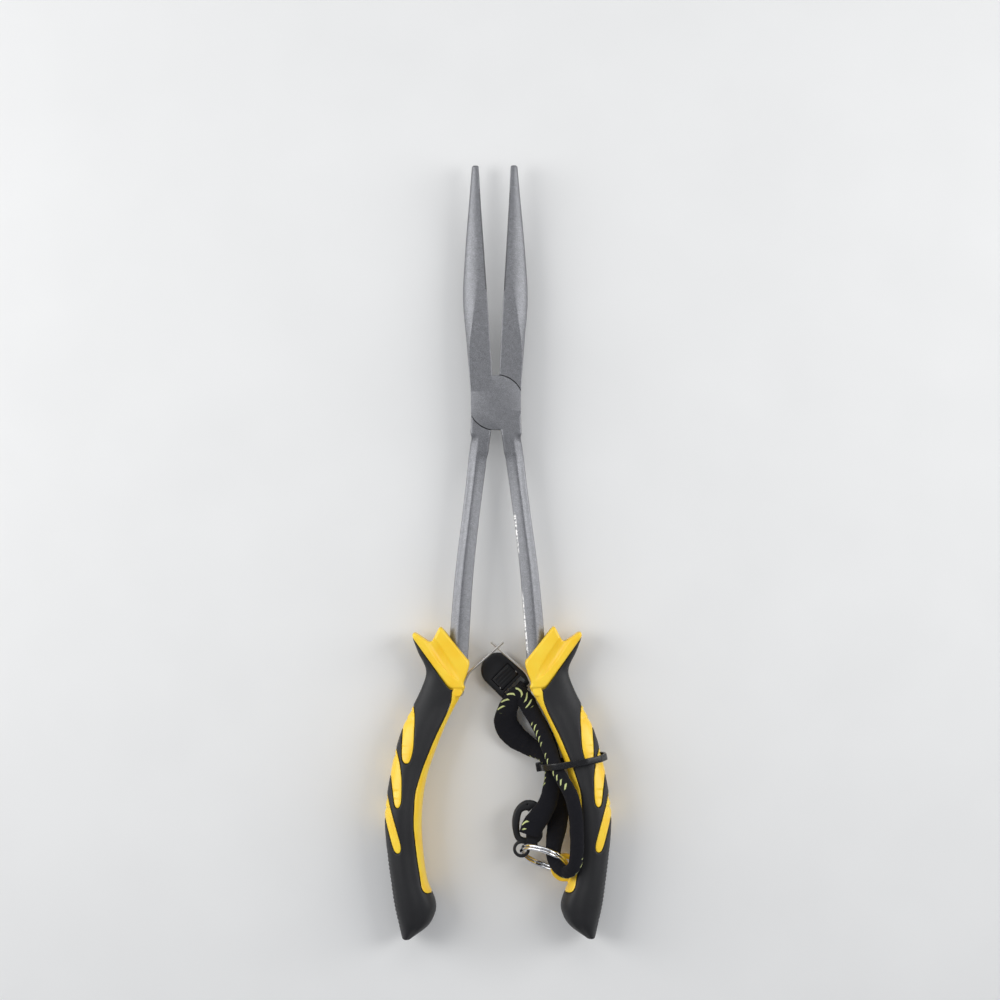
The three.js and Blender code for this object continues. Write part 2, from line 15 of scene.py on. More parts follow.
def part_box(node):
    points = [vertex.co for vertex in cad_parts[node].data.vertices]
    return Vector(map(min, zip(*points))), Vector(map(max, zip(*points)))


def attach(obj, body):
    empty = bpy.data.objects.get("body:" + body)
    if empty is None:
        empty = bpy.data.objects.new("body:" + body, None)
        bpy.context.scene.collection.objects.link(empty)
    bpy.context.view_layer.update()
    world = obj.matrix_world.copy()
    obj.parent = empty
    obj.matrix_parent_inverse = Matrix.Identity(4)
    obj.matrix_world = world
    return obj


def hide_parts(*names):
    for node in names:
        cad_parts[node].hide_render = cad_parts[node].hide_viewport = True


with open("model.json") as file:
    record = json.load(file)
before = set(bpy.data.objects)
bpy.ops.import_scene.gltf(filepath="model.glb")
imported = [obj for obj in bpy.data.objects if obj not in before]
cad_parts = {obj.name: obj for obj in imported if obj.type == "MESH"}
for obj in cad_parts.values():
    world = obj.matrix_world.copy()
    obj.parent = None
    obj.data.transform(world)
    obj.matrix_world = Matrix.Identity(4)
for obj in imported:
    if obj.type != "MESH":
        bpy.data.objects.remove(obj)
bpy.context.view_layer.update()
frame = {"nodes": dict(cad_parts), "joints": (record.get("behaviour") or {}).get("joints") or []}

MM = 0.001
JOINTS = {joint["name"]: joint for joint in frame["joints"]}
PIVOT = np.array(JOINTS["pliers_pivot"]["pos_m"]) / MM
LENGTH = (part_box("front_lever")[1].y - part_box("right_grip")[0].y) / MM
HALF_TURN = Matrix.Rotation(math.pi, 4, "Y")
RIGHT, LEFT = "right_half", "left_half"
THROUGH = 20  # far enough, up or down, for a cutting tool to clear any piece


# ---------------------------------------------------------------- geometry helpers

def hermite(knots, values, at):
    """Values at the knots joined smoothly, read at other places."""
    slopes = np.gradient(values, knots, axis=0)
    i = np.clip(np.searchsorted(knots, at) - 1, 0, len(knots) - 2)
    width = (knots[i + 1] - knots[i])[:, None]
    t = (at - knots[i])[:, None] / width
    low = (1 + 2 * t) * (1 - t) ** 2 * values[i] + t * (1 - t) ** 2 * width * slopes[i]
    high = t * t * (3 - 2 * t) * values[i + 1] + t * t * (t - 1) * width * slopes[i + 1]
    return low + high


def smooth(stations, at):
    """The columns of a station table after the first, read where the first column is at."""
    table = np.array(sorted(stations), float)
    return hermite(table[:, 0], table[:, 1:], np.asarray(at, float))


def curve(points, count):
    """Evenly spaced points on a smooth line through the given ones."""
    points = np.array(points, float)
    steps = np.linalg.norm(np.diff(points, axis=0), axis=1)
    knots = np.concatenate([[0], np.cumsum(steps ** 0.75)])
    fine = hermite(knots, points, np.linspace(0, knots[-1], 12 * len(points)))
    run = np.concatenate([[0], np.cumsum(np.linalg.norm(np.diff(fine, axis=0), axis=1))])
    at = np.linspace(0, run[-1], count)
    return np.stack([np.interp(at, run, fine[:, k]) for k in range(points.shape[1])], axis=1)


def rounded(points, radius, steps=5):
    """A closed outline with every corner turned into a soft curve."""
    corners = np.array(points, float)
    made = []
    for i, corner in enumerate(corners):
        ends = []
        for other in (corners[i - 1], corners[(i + 1) % len(corners)]):
            reach = np.linalg.norm(other - corner)
            ends.append(corner + (other - corner) * min(radius, 0.48 * reach) / reach)
        for t in np.linspace(0, 1, steps + 1):
            made.append((1 - t) ** 2 * ends[0] + 2 * t * (1 - t) * corner + t * t * ends[1])
    return made


def circle(x, y, radius, sides=48):
    turns = np.linspace(0, 2 * math.pi, sides, endpoint=False)
    return [(x + radius * math.cos(a), y + radius * math.sin(a)) for a in turns]


def loose(mesh, name="piece"):
    """A bmesh as an object whose faces point out."""
    bmesh.ops.recalc_face_normals(mesh, faces=mesh.faces)
    data = bpy.data.meshes.new(name)
    mesh.to_mesh(data)
    mesh.free()
    thing = bpy.data.objects.new(name, data)
    bpy.context.scene.collection.objects.link(thing)
    return thing


def skin(rings, closed=False):
    """A body through rings of points, capped at both ends unless it closes on itself."""
    mesh = bmesh.new()
    rows = [[mesh.verts.new(point) for point in ring] for ring in rings]
    count = len(rows[0])
    pairs = list(zip(rows, rows[1:])) + ([(rows[-1], rows[0])] if closed else [])
    for low, high in pairs:
        for i in range(count):
            j = (i + 1) % count
            mesh.faces.new((low[i], low[j], high[j], high[i]))
    if not closed:
        mesh.faces.new(rows[0])
        mesh.faces.new(rows[-1])
    return loose(mesh)


def prism(outline, low, high, edge=0.0, segments=3):
    """A plan outline given height, its two rims rounded by edge."""
    mesh = bmesh.new()
    base = mesh.faces.new([mesh.verts.new((x, y, low)) for x, y in outline])
    grown = bmesh.ops.extrude_face_region(mesh, geom=[base])["geom"]
    tops = [v for v in grown if isinstance(v, bmesh.types.BMVert)]
    bmesh.ops.translate(mesh, verts=tops, vec=(0, 0, high - low))
    if edge:
        rims = [e for e in mesh.edges if abs(e.verts[0].co.z - e.verts[1].co.z) < 1e-6]
        bmesh.ops.bevel(mesh, geom=rims, offset=edge, segments=segments, profile=0.5, affect="EDGES")
    return loose(mesh)


def sweep(path, section, up=(0, 0, 1), closed=False):
    """A body along a path. The section is (across, up) points, or a function of the share of the length."""
    path = np.array(path, float)
    ahead = np.gradient(path, axis=0)
    if closed:
        ahead = np.roll(path, -1, axis=0) - np.roll(path, 1, axis=0)
    ahead /= np.linalg.norm(ahead, axis=1)[:, None]
    across = np.cross(np.broadcast_to(np.array(up, float), ahead.shape), ahead)
    across /= np.linalg.norm(across, axis=1)[:, None]
    over = np.cross(ahead, across)
    rings = []
    for i, (centre, a, b) in enumerate(zip(path, across, over)):
        shape = section(i / (len(path) - 1)) if callable(section) else section
        rings.append([centre + a * s + b * t for s, t in shape])
    return skin(rings, closed)


def oval(width, height, power=2.0, sides=24):
    """Points of a flattened ring; a power above 2 makes it squarer."""
    made = []
    for a in (np.arange(sides) + 0.5) / sides * 2 * math.pi:
        x, y = math.cos(a), math.sin(a)
        made.append((width / 2 * math.copysign(abs(x) ** (2 / power), x),
                     height / 2 * math.copysign(abs(y) ** (2 / power), y)))
    return made


def bake(thing):
    """Turns an object's modifiers into its mesh."""
    graph = bpy.context.evaluated_depsgraph_get()
    made = bpy.data.meshes.new_from_object(thing.evaluated_get(graph))
    thing.modifiers.clear()
    thing.data = made
    return thing


def combine(base, tool, operation):
    change = base.modifiers.new("combine", "BOOLEAN")
    change.object = tool
    change.operation = operation
    change.solver = "MANIFOLD"
    bake(base)
    bpy.data.objects.remove(tool)
    return base


def joined(base, *tools):
    for tool in tools:
        combine(base, tool, "UNION")
    return base


def cut(base, *tools):
    for tool in tools:
        combine(base, tool, "DIFFERENCE")
    return base


def moulded(thing, grain, passes):
    """Remeshes a body evenly and rounds its edges, as a mould does."""
    even = thing.modifiers.new("even", "REMESH")
    even.mode = "VOXEL"
    even.voxel_size = grain
    soften = thing.modifiers.new("soften", "SMOOTH")
    soften.factor = 0.5
    soften.iterations = passes
    return bake(thing)


def eased(thing, width, angle=40):
    """Rounds a machined body's sharp edges."""
    flat = thing.modifiers.new("flat", "DECIMATE")
    flat.decimate_type = "DISSOLVE"
    flat.angle_limit = math.radians(0.4)
    edge = thing.modifiers.new("edge", "BEVEL")
    edge.width = width
    edge.segments = 2
    edge.limit_method = "ANGLE"
    edge.angle_limit = math.radians(angle)
    return bake(thing)


def copied(thing):
    twin = bpy.data.objects.new("piece", thing.data.copy())
    bpy.context.scene.collection.objects.link(twin)
    return twin


def finished(name, thing, material, body, stands_for=(), turned=False, sharp=35):
    """Puts a piece in its place in the row frame, paints it and ties it to its body."""
    spin = HALF_TURN if turned else Matrix.Identity(4)
    thing.data.transform(Matrix.Scale(MM, 4) @ Matrix.Translation(PIVOT) @ spin)
    thing.data.shade_smooth()
    thing.data.set_sharp_from_angle(angle=math.radians(sharp))
    thing.data.materials.clear()
    thing.data.materials.append(material)
    thing.name = name
    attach(thing, body)
    if stands_for:
        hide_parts(*stands_for)
    return thing


# ---------------------------------------------------------------- camera

TOOL_SHARE = 0.772  # the tool's length as a share of the picture's height
VIEW_CENTRE = Vector((0.0013, 0.0188, 0.0))
LENS, SENSOR = 100, 36
LEAN = -0.3  # degrees that the camera is turned about its own axis


def place_camera():
    data = bpy.data.cameras.new("camera")
    data.lens = LENS
    data.sensor_width = SENSOR
    camera = bpy.data.objects.new("camera", data)
    bpy.context.scene.collection.objects.link(camera)
    distance = LENGTH * MM / TOOL_SHARE * LENS / SENSOR
    camera.location = VIEW_CENTRE + Vector((0, 0, distance + PIVOT[2] * MM))
    camera.rotation_euler = (0, 0, math.radians(LEAN))
    bpy.context.scene.camera = camera
    bpy.context.scene.view_settings.view_transform = "Standard"


place_camera()


# ---------------------------------------------------------------- materials

class Paint:
    """A node material with one Principled shader, painted in the row frame's own coordinates."""

    def __init__(self, name):
        self.material = bpy.data.materials.new(name)
        self.material.use_nodes = True
        self.nodes = self.material.node_tree.nodes
        self.shader = next(n for n in self.nodes if n.type == "BSDF_PRINCIPLED")
        self.place = self.nodes.new("ShaderNodeTexCoord").outputs["Object"]

    def link(self, source, target):
        self.material.node_tree.links.new(source, target)

    def node(self, kind, inputs):
        """A new node whose inputs are linked to sockets or set to values."""
        made = self.nodes.new("ShaderNode" + kind)
        for name, value in inputs.items():
            if isinstance(value, bpy.types.NodeSocket):
                self.link(value, made.inputs[name])
            else:
                made.inputs[name].default_value = value
        return made

    def noise(self, grain, detail=3.0, rough=0.5, stretch=None):
        """Noise whose lumps are about grain millimetres across."""
        place = self.place
        if stretch is not None:
            place = self.node("Mapping", {"Scale": stretch, "Vector": place}).outputs["Vector"]
        inputs = {"Scale": 1 / (grain * MM), "Detail": detail, "Roughness": rough, "Vector": place}
        return self.node("TexNoise", inputs).outputs["Fac"]

    def ramp(self, factor, *stops):
        """Colours or greys at places along a factor."""
        node = self.node("ValToRGB", {"Fac": factor})
        elements = node.color_ramp.elements
        while len(elements) < len(stops):
            elements.new(0.5)
        for element, (at, colour) in zip(elements, stops):
            element.position = at
            element.color = (*colour, 1) if isinstance(colour, tuple) else (colour, colour, colour, 1)
        return node.outputs["Color"]

    def mix(self, factor, low, high, blend="MIX"):
        low, high = [(*tone, 1) if isinstance(tone, tuple) else tone for tone in (low, high)]
        node = self.node("Mix", {0: factor, 6: low, 7: high})
        node.data_type = "RGBA"
        node.blend_type = blend
        return node.outputs[2]

    def calc(self, operation, *values):
        node = self.node("Math", dict(enumerate(values)))
        node.operation = operation
        return node.outputs[0]

    def axis(self, name):
        return self.node("SeparateXYZ", {0: self.place}).outputs[name]

    def attribute(self, name):
        node = self.node("Attribute", {})
        node.attribute_name = name
        return node.outputs["Fac"]

    def between(self, value, low, high, edge):
        """1 where a value lies between two limits, falling to 0 over an edge."""
        sides = []
        for start, end in ((low - edge, low), (high + edge, high)):
            inputs = {"Value": value, "From Min": start, "From Max": end}
            sides.append(self.node("MapRange", inputs).outputs[0])
        return self.calc("MULTIPLY", *sides)

    def bump(self, height, depth):
        """Bumps whose full height is depth millimetres; each call adds to the last."""
        node = self.node("Bump", {"Distance": depth * MM, "Height": height})
        normal = self.shader.inputs["Normal"]
        if normal.is_linked:
            self.link(normal.links[0].from_socket, node.inputs["Normal"])
        self.link(node.outputs["Normal"], normal)

    def colour(self, socket):
        self.link(socket, self.shader.inputs["Base Color"])

    def fixed(self, name, value):
        self.shader.inputs[name].default_value = value

    def roughness(self, factor, low, high):
        spread = self.node("MapRange", {"Value": factor, "To Min": low, "To Max": high})
        self.link(spread.outputs[0], self.shader.inputs["Roughness"])


def coated_steel():
    """Speckled grey low-friction coating, rubbed bright along one inner edge."""
    paint = Paint("coated_steel")
    grain = paint.noise(0.22, 2.0, 0.6)
    mottle = paint.noise(1.6, 3.0, 0.6)
    dark, middle, light = (0.15, 0.15, 0.16), (0.215, 0.218, 0.23), (0.31, 0.315, 0.33)
    fine = paint.ramp(grain, (0.35, dark), (0.5, middle), (0.65, light))
    broad = paint.ramp(mottle, (0.3, 0.9), (0.7, 1.08))
    base = paint.mix(1.0, fine, broad, "MULTIPLY")
    patches = paint.ramp(paint.noise(1.1, 4.0, 0.7), (0.44, 0.0), (0.52, 1.0))
    streak = paint.calc("MULTIPLY", worn_edge(paint), patches)
    bare_steel = (0.75, 0.74, 0.72)
    paint.colour(paint.mix(streak, base, bare_steel))
    paint.fixed("Metallic", 0.65)
    paint.roughness(paint.calc("MULTIPLY", grain, paint.calc("SUBTRACT", 1.0, streak)), 0.34, 0.56)
    paint.bump(grain, 0.02)
    return paint.material


# Metres in the row frame, each as from, to and how softly it ends: two stretches along the tool, the slanted
# line that the edge lies in, and the height of the edge.
WORN_STRETCHES = [(0.0005, 0.0125, 0.002), (-0.035, -0.017, 0.003)]
WORN_LINE = (0.0066, 0.0080, 0.0003)
WORN_RIM = (0.0114, 0.0130, 0.0002)
WORN_SLANT = 0.087


def worn_edge(paint):
    """Where the coating has rubbed off: the inner edge of the right shank, at two stretches."""
    y = paint.axis("Y")
    line = paint.calc("ADD", paint.axis("X"), paint.calc("MULTIPLY", y, WORN_SLANT))
    upper, lower = [paint.between(y, *stretch) for stretch in WORN_STRETCHES]
    near = paint.between(line, *WORN_LINE)
    rim = paint.between(paint.axis("Z"), *WORN_RIM)
    return paint.calc("MULTIPLY", paint.calc("MULTIPLY", near, rim), paint.calc("MAXIMUM", upper, lower))


def yellow_plastic():
    paint = Paint("yellow_plastic")
    cloud = paint.noise(9, 2.0)
    paint.colour(paint.ramp(cloud, (0.3, (0.98, 0.60, 0.022)), (0.7, (1.0, 0.69, 0.050))))
    paint.roughness(paint.noise(0.9, 3.0), 0.28, 0.46)
    paint.fixed("Subsurface Weight", 0.12)
    paint.fixed("Subsurface Radius", (0.002, 0.0012, 0.0003))
    paint.fixed("Subsurface Scale", 0.5)
    paint.bump(paint.noise(0.5, 2.0), 0.012)
    return paint.material


def black_rubber():
    paint = Paint("black_rubber")
    dust = paint.ramp(paint.noise(1.3, 6.0, 0.75), (0.64, 0.0), (0.74, 1.0))
    tone = paint.ramp(paint.noise(14, 3.0), (0.3, (0.009, 0.009, 0.010)), (0.7, (0.015, 0.015, 0.0165)))
    paint.colour(paint.mix(paint.calc("MULTIPLY", dust, 0.10), tone, (0.22, 0.22, 0.22)))
    paint.roughness(paint.noise(0.6, 3.0), 0.42, 0.62)
    paint.fixed("Specular IOR Level", 0.4)
    paint.bump(paint.noise(0.22, 2.0, 0.6), 0.035)
    return paint.material


def black_plastic(name, low, high, tone, grain):
    paint = Paint(name)
    paint.colour(paint.ramp(paint.noise(3, 3.0), (0.3, tone), (0.7, tuple(1.5 * c for c in tone))))
    paint.roughness(paint.noise(0.7, 3.0), low, high)
    paint.fixed("Specular IOR Level", 0.35)
    paint.bump(paint.noise(grain, 2.0), 0.02)
    return paint.material


def bright_metal(name, tone, low, high, stretch=None):
    paint = Paint(name)
    marks = paint.noise(0.3, 4.0, 0.6, stretch)
    paint.colour(paint.ramp(marks, (0.3, tuple(0.82 * c for c in tone)), (0.7, tone)))
    paint.fixed("Metallic", 1.0)
    paint.roughness(marks, low, high)
    paint.bump(marks, 0.01)
    return paint.material


KNIT_RIBS, KNIT_COURSE = 34, 0.55  # ribs round the tube, and millimetres from course to course
DASH_PITCH, DASH_SLANT = 2.3, 0.15  # millimetres along the strap, and share of a turn that a dash climbs


def strap_fabric():
    """Fine knitted tube with slanted dashes printed along it in pale green."""
    paint = Paint("strap_fabric")
    along, around = paint.attribute("along"), paint.attribute("around")
    rib = paint.calc("SINE", paint.calc("MULTIPLY", around, 2 * math.pi * KNIT_RIBS))
    course = paint.calc("SINE", paint.calc("MULTIPLY", along, 2 * math.pi / KNIT_COURSE))
    knit = paint.calc("MULTIPLY_ADD", paint.calc("MULTIPLY", rib, course), 0.5, 0.5)
    fuzz = paint.noise(0.35, 4.0, 0.7)
    yarn = paint.mix(paint.calc("MULTIPLY", knit, 0.7), (0.005, 0.005, 0.007), (0.016, 0.016, 0.021))
    yarn = paint.mix(paint.ramp(fuzz, (0.62, 0.0), (0.8, 0.5)), yarn, (0.035, 0.035, 0.04))
    mark = paint.calc("MULTIPLY", printed(paint, along, around), paint.attribute("ink"))
    mark = paint.calc("MULTIPLY", mark, paint.ramp(fuzz, (0.30, 0.0), (0.42, 1.0)))
    pale_green = (0.62, 0.68, 0.30)
    paint.colour(paint.mix(mark, yarn, pale_green))
    paint.roughness(knit, 0.75, 0.95)
    paint.fixed("Specular IOR Level", 0.15)
    paint.fixed("Sheen Weight", 0.05)
    paint.fixed("Sheen Roughness", 0.5)
    paint.bump(knit, 0.10)
    paint.bump(fuzz, 0.05)
    return paint.material


def printed(paint, along, around):
    """Slanted dashes, all alike and side by side: a plain pattern with no letters in it."""
    lean = paint.calc("FRACT", paint.calc("MULTIPLY", along, 1 / DASH_PITCH))
    level = paint.calc("SUBTRACT", around, paint.calc("MULTIPLY", lean, DASH_SLANT))
    stroke = paint.between(level, 0.125, 0.165, 0.008)
    return paint.calc("MULTIPLY", stroke, paint.between(lean, 0.08, 0.80, 0.04))


STEEL = coated_steel()
YELLOW = yellow_plastic()
RUBBER = black_rubber()
HOOK_PLASTIC = black_plastic("black_plastic", 0.38, 0.55, (0.010, 0.010, 0.011), 0.3)
CLIP_PLASTIC = black_plastic("clip_plastic", 0.30, 0.46, (0.007, 0.007, 0.008), 0.25)
TIE_NYLON = black_plastic("tie_nylon", 0.2, 0.34, (0.009, 0.009, 0.010), 0.5)
SPRING_STEEL = bright_metal("spring_steel", (0.78, 0.75, 0.70), 0.22, 0.38, (1, 0.2, 1))
CHROME = bright_metal("ring_chrome", (0.86, 0.86, 0.88), 0.06, 0.16)
RIVET_STEEL = bright_metal("rivet_steel", (0.42, 0.42, 0.43), 0.32, 0.46)
FABRIC = strap_fabric()
TAPE = black_plastic("sewn_tape", 0.8, 0.95, (0.008, 0.008, 0.010), 0.35)


# ---------------------------------------------------------------- lanyard strap

# x, y and z in metres in the row frame, from the snap hook to the belt clip, as in the CAD.
STRAP_ROUTE = [
    (0.0118, -0.1024, 0.0135), (0.0128, -0.0994, 0.0135), (0.0154, -0.0954, 0.0136),
    (0.0180, -0.0906, 0.0130), (0.0193, -0.0850, 0.0114), (0.0193, -0.0790, 0.0092),
    (0.0172, -0.0744, 0.0070), (0.0122, -0.0708, 0.0038), (0.0072, -0.0664, 0.0028),
    (0.0043, -0.0620, 0.0038), (0.0037, -0.0578, 0.0057), (0.0049, -0.0540, 0.0065),
    (0.0074, -0.0522, 0.0066), (0.0099, -0.0538, 0.0067), (0.0120, -0.0574, 0.0071),
    (0.0143, -0.0616, 0.0084), (0.0167, -0.0666, 0.0102), (0.0188, -0.0718, 0.0122),
    (0.0206, -0.0770, 0.0146), (0.0234, -0.0822, 0.0174), (0.0262, -0.0873, 0.0199),
    (0.0276, -0.0930, 0.0208), (0.0281, -0.1000, 0.0211), (0.0282, -0.1075, 0.0211),
    (0.0273, -0.1130, 0.0208), (0.0241, -0.1159, 0.0176), (0.0206, -0.1142, 0.0158),
    (0.0186, -0.1103, 0.0140), (0.0185, -0.1060, 0.0120), (0.0192, -0.1006, 0.0094),
    (0.0199, -0.0950, 0.0072), (0.0203, -0.0890, 0.0054), (0.0204, -0.0830, 0.0042),
    (0.0202, -0.0770, 0.0034), (0.0193, -0.0720, 0.0024), (0.0174, -0.0672, 0.0022),
    (0.0152, -0.0628, 0.0022), (0.0129, -0.0588, 0.0022), (0.0112, -0.0556, 0.0022),
    (0.0096, -0.0529, 0.0022),
]
STRAP_STEPS, STRAP_SIDES = 420, 36
BEND_ROOM = 0.86  # how far the inside of a bend may reach, as a share of the bend's radius
CREASE_DEPTH, CREASE_PITCH, CREASE_BEND = 0.34, 1.9, 0.3
# share of the length, width, thickness and how far the section lies to the left of the route
STRAP_SECTIONS = [
    (0.00, 8.0, 2.4, 0.4), (0.03, 7.8, 2.9, 0.3), (0.06, 6.8, 3.3, 0.0),
    (0.09, 6.1, 3.6, 0.0), (0.13, 4.8, 3.6, 0.0), (0.155, 5.4, 3.4, 0.1),
    (0.19, 7.2, 3.4, 0.8), (0.22, 8.8, 3.5, 1.5), (0.245, 8.8, 3.7, 1.3),
    (0.27, 7.2, 3.9, 0.0), (0.285, 6.5, 3.9, -0.4), (0.30, 6.9, 4.0, -0.1),
    (0.33, 6.3, 4.0, 0.0), (0.37, 5.6, 3.8, 0.0), (0.42, 5.3, 3.6, 0.0),
    (0.45, 4.7, 3.6, 0.0), (0.50, 5.0, 3.5, 0.0), (0.60, 5.0, 3.6, 0.0),
    (0.64, 4.8, 3.8, -0.3), (0.67, 4.8, 3.8, -1.0), (0.71, 5.4, 3.4, -1.5),
    (0.76, 7.2, 2.8, -2.0), (0.81, 7.8, 2.7, -1.6), (0.86, 5.8, 2.6, -0.3),
    (0.92, 5.6, 2.6, 0.0), (1.00, 5.2, 2.6, 0.0),
]
# millimetres along the strap and how far the print lies round it there, as a share of a turn
PRINT_ROLL = [
    (0, 0.10), (18, 0.16), (33, 0.20), (50, 0.13), (60, 0.07), (68, -0.02), (75, -0.13), (95, -0.17),
    (110, 0.08), (130, 0.18), (140, 0.13), (165, 0.08), (210, 0.08),
]
PRINTED_STRETCHES = [(1, 4), (19, 26), (28.5, 37), (55, 69.5), (75, 84), (87, 103), (128, 137.5), (163, 170)]


def strap_frame(path):
    """Along each point: the way across the strap, the way over it, and how sharply it bends sideways."""
    ahead = np.gradient(path, axis=0)
    ahead /= np.linalg.norm(ahead, axis=1)[:, None]
    across = np.cross(np.array((0.0, 0, 1)), ahead)
    across /= np.linalg.norm(across, axis=1)[:, None]
    step = np.linalg.norm(np.diff(path, axis=0), axis=1).mean()
    bend = (np.gradient(ahead, step, axis=0) * across).sum(1)
    return across, np.cross(ahead, across), np.convolve(bend, np.ones(9) / 9, "same")


def strap_ring(run, width, thickness, shift, bend, sides):
    """The strap's soft flat section, drawn in on the inside of a bend and creased there."""
    room = BEND_ROOM / max(1e-6, abs(bend)) - shift * math.copysign(1, bend)
    crease_share = CREASE_DEPTH * min(1.0, abs(bend) / CREASE_BEND)
    ring = []
    for x, z in oval(1, 1, 2.3, sides):
        inside = x * bend > 0
        reach = width * min(1.0, room / (width / 2)) if inside else width
        crease = crease_share * abs(2 * x) * inside * math.sin(2 * math.pi * run / CREASE_PITCH + 3 * z)
        ripple = 0.10 * math.sin(run * 1.3 + 5 * x) + 0.08 * math.sin(run * 2.9 + 9 * z + 2 * x)
        swell = 1 + (crease + ripple) / thickness
        ring.append((shift + x * reach * (1 + ripple / 9), z * thickness * swell))
    return ring


def lanyard_strap():
    """A soft knitted tube: flattened, creased across its bends and pinched where it is tied."""
    steps, sides = STRAP_STEPS, STRAP_SIDES
    path = curve(STRAP_ROUTE, steps)
    local = path / MM - PIVOT
    across, over, bend = strap_frame(local)
    run = np.linspace(0, np.linalg.norm(np.diff(local, axis=0), axis=1).sum(), steps)
    sections = smooth(STRAP_SECTIONS, run / run[-1])
    roll = smooth(PRINT_ROLL, run)[:, 0]
    rings = []
    for i in range(steps):
        ring = strap_ring(run[i], *sections[i], bend[i], sides)
        rings.append([local[i] + across[i] * x + over[i] * z for x, z in ring])
    strap = skin(rings)
    ink = np.zeros(steps)
    for start, end in PRINTED_STRETCHES:
        ink[(run > start) & (run < end)] = 1
    around = np.tile((np.arange(sides) + 0.5) / sides, steps) + np.repeat(roll, sides)
    marks = {"along": np.repeat(run, sides), "around": around, "ink": np.repeat(ink, sides)}
    for name, values in marks.items():
        strap.data.attributes.new(name, "FLOAT", "POINT").data.foreach_set("value", values)
    finished("lanyard_strap_tube", strap, FABRIC, RIGHT, ["lanyard_strap"], sharp=80)
    return strap, [tuple(point) for point in path]


strap, strap_path = lanyard_strap()


# ---------------------------------------------------------------- levers

JAW_REACH = 86
LOBE_RADIUS, LOBE_HALF_WIDTH, JOINT_HALF = 9.9, 9.05, 4.8
LOBE_FOOT = -9.7
CLEARANCE = 0.3
RIVET_RADIUS, RIVET_HEAD, RIVET_HEAD_DEPTH = 2.2, 3.4, 1.2
RIVET_END, RIVET_SEAT_GAP = 3.6, 0.1
TANG_WIDTH = 4.4
TEETH = (40.8, 77.6)
TOOTH_PITCH, TOOTH_DEPTH = 0.8, 0.42
JAW_CHAMFER, FLAT_EASE = 0.35, 0.2
TIP_LENGTH, TIP_EASE = 0.6, 0.4

# v, inner x, outer x and half thickness of the left jaw
JAW_STATIONS = [
    (86, -5.8, -8.25, 1.7),
    (77, -5.3, -9, 2.2),
    (52, -3.75, -11.05, 3.4),
    (38, -2.9, -11.75, 4.2),
    (22, -1.95, -10.5, 4.8),
    (12, -1.4, -9.7, 4.8),
    (4, -0.85, -9.1, 4.8),
]
# v, width and depth of the rounded outer corner as shares of the section, and how round it is
JAW_CORNERS = [
    (86, 1.0, 0.95, 2.0),
    (64, 1.0, 0.95, 2.0),
    (52, 0.8, 0.95, 1.8),
    (38, 0.55, 0.86, 1.45),
    (30, 0.34, 0.65, 1.2),
    (22, 0.14, 0.34, 1.1),
    (12, 0.04, 0.08, 1.0),
    (4, 0.03, 0.05, 1.0),
]
# v, inner x, outer x and half thickness of the right shank, with small steps where its facets begin
SHANK_STATIONS = [
    (-3, 0.9, 8.9, 4.8),
    (-9, 1.65, 9.1, 4.8),
    (-11.2, 1.95, 9.2, 4.8),
    (-12.4, 2.1, 8.95, 4.8),
    (-15, 2.5, 9.3, 4.55),
    (-18.4, 2.95, 9.75, 4.15),
    (-19.3, 3.2, 9.9, 4.0),
    (-24, 3.9, 10.4, 3.7),
    (-41.3, 6.2, 12.5, 3.3),
    (-60.9, 8.4, 15, 3.3),
    (-78.7, 9.7, 16.7, 3.3),
    (-93.5, 10.7, 17.6, 3.2),
]
# v, then the heights of the shank's inner and outer edges as shares of its half thickness
SHANK_EDGES = [
    (-3, 1.0, 1.0),
    (-11.4, 1.0, 0.99),
    (-13, 0.97, 0.84),
    (-17, 0.9, 0.68),
    (-24, 0.72, 0.54),
    (-50, 0.66, 0.5),
    (-93.5, 0.68, 0.5),
]
SHANK_RIDGE = 0.57
SHANK_CHAMFER = 0.5
TANG_PATH = [
    (14.4, -88), (16.4, -95), (19.6, -102.5), (23, -111), (26.8, -121), (30.4, -135), (32.9, -151),
    (33.4, -168),
]


def tooth_at(v):
    """Depth of the inner side's fine teeth, a plain zigzag."""
    if not TEETH[0] < v < TEETH[1]:
        return 0.0
    return TOOTH_DEPTH * (1 - abs(2 * (v / TOOTH_PITCH % 1) - 1))


def jaw_ring(v, inner, outer, half, share, deep, power):
    """A jaw's section: toothed inner side, small chamfer, flat top and rounded outer side."""
    inset = TIP_EASE * max(0.0, (v - JAW_REACH + TIP_LENGTH) / TIP_LENGTH) ** 2
    wide = inner - outer - 2 * inset
    half -= inset
    start = max(JAW_CHAMFER + TOOTH_DEPTH + FLAT_EASE, wide * (1 - min(1.0, share)))
    tooth = tooth_at(v)
    upper = [(tooth, 0.0), (tooth, half - JAW_CHAMFER), (JAW_CHAMFER + 0.7 * tooth, half)]
    upper += [(start - FLAT_EASE, half), (start, half)]
    for a in np.linspace(0, math.pi / 2, 12)[1:]:
        out, fall = math.sin(a) ** (2 / power), 1 - max(0.0, math.cos(a)) ** (2 / power)
        upper.append((start + (wide - start) * out, half * (1 - deep * fall)))
    ring = upper + [(s, -z) for s, z in reversed(upper[1:])]
    return [(inner - inset - s, v, z) for s, z in ring]


def jaw():
    first, last = TEETH
    coarse = np.arange(4, first, 0.8)
    toothed = np.arange(first, last, TOOTH_PITCH / 4)
    plain = np.arange(last, JAW_REACH - TIP_LENGTH, 0.8)
    tip = JAW_REACH - TIP_LENGTH * np.linspace(1, 0, 5)
    rows = np.concatenate([coarse, toothed, plain, tip])
    tables = np.hstack([smooth(JAW_STATIONS, rows), smooth(JAW_CORNERS, rows)])
    return skin([jaw_ring(v, *values) for v, values in zip(rows, tables)])


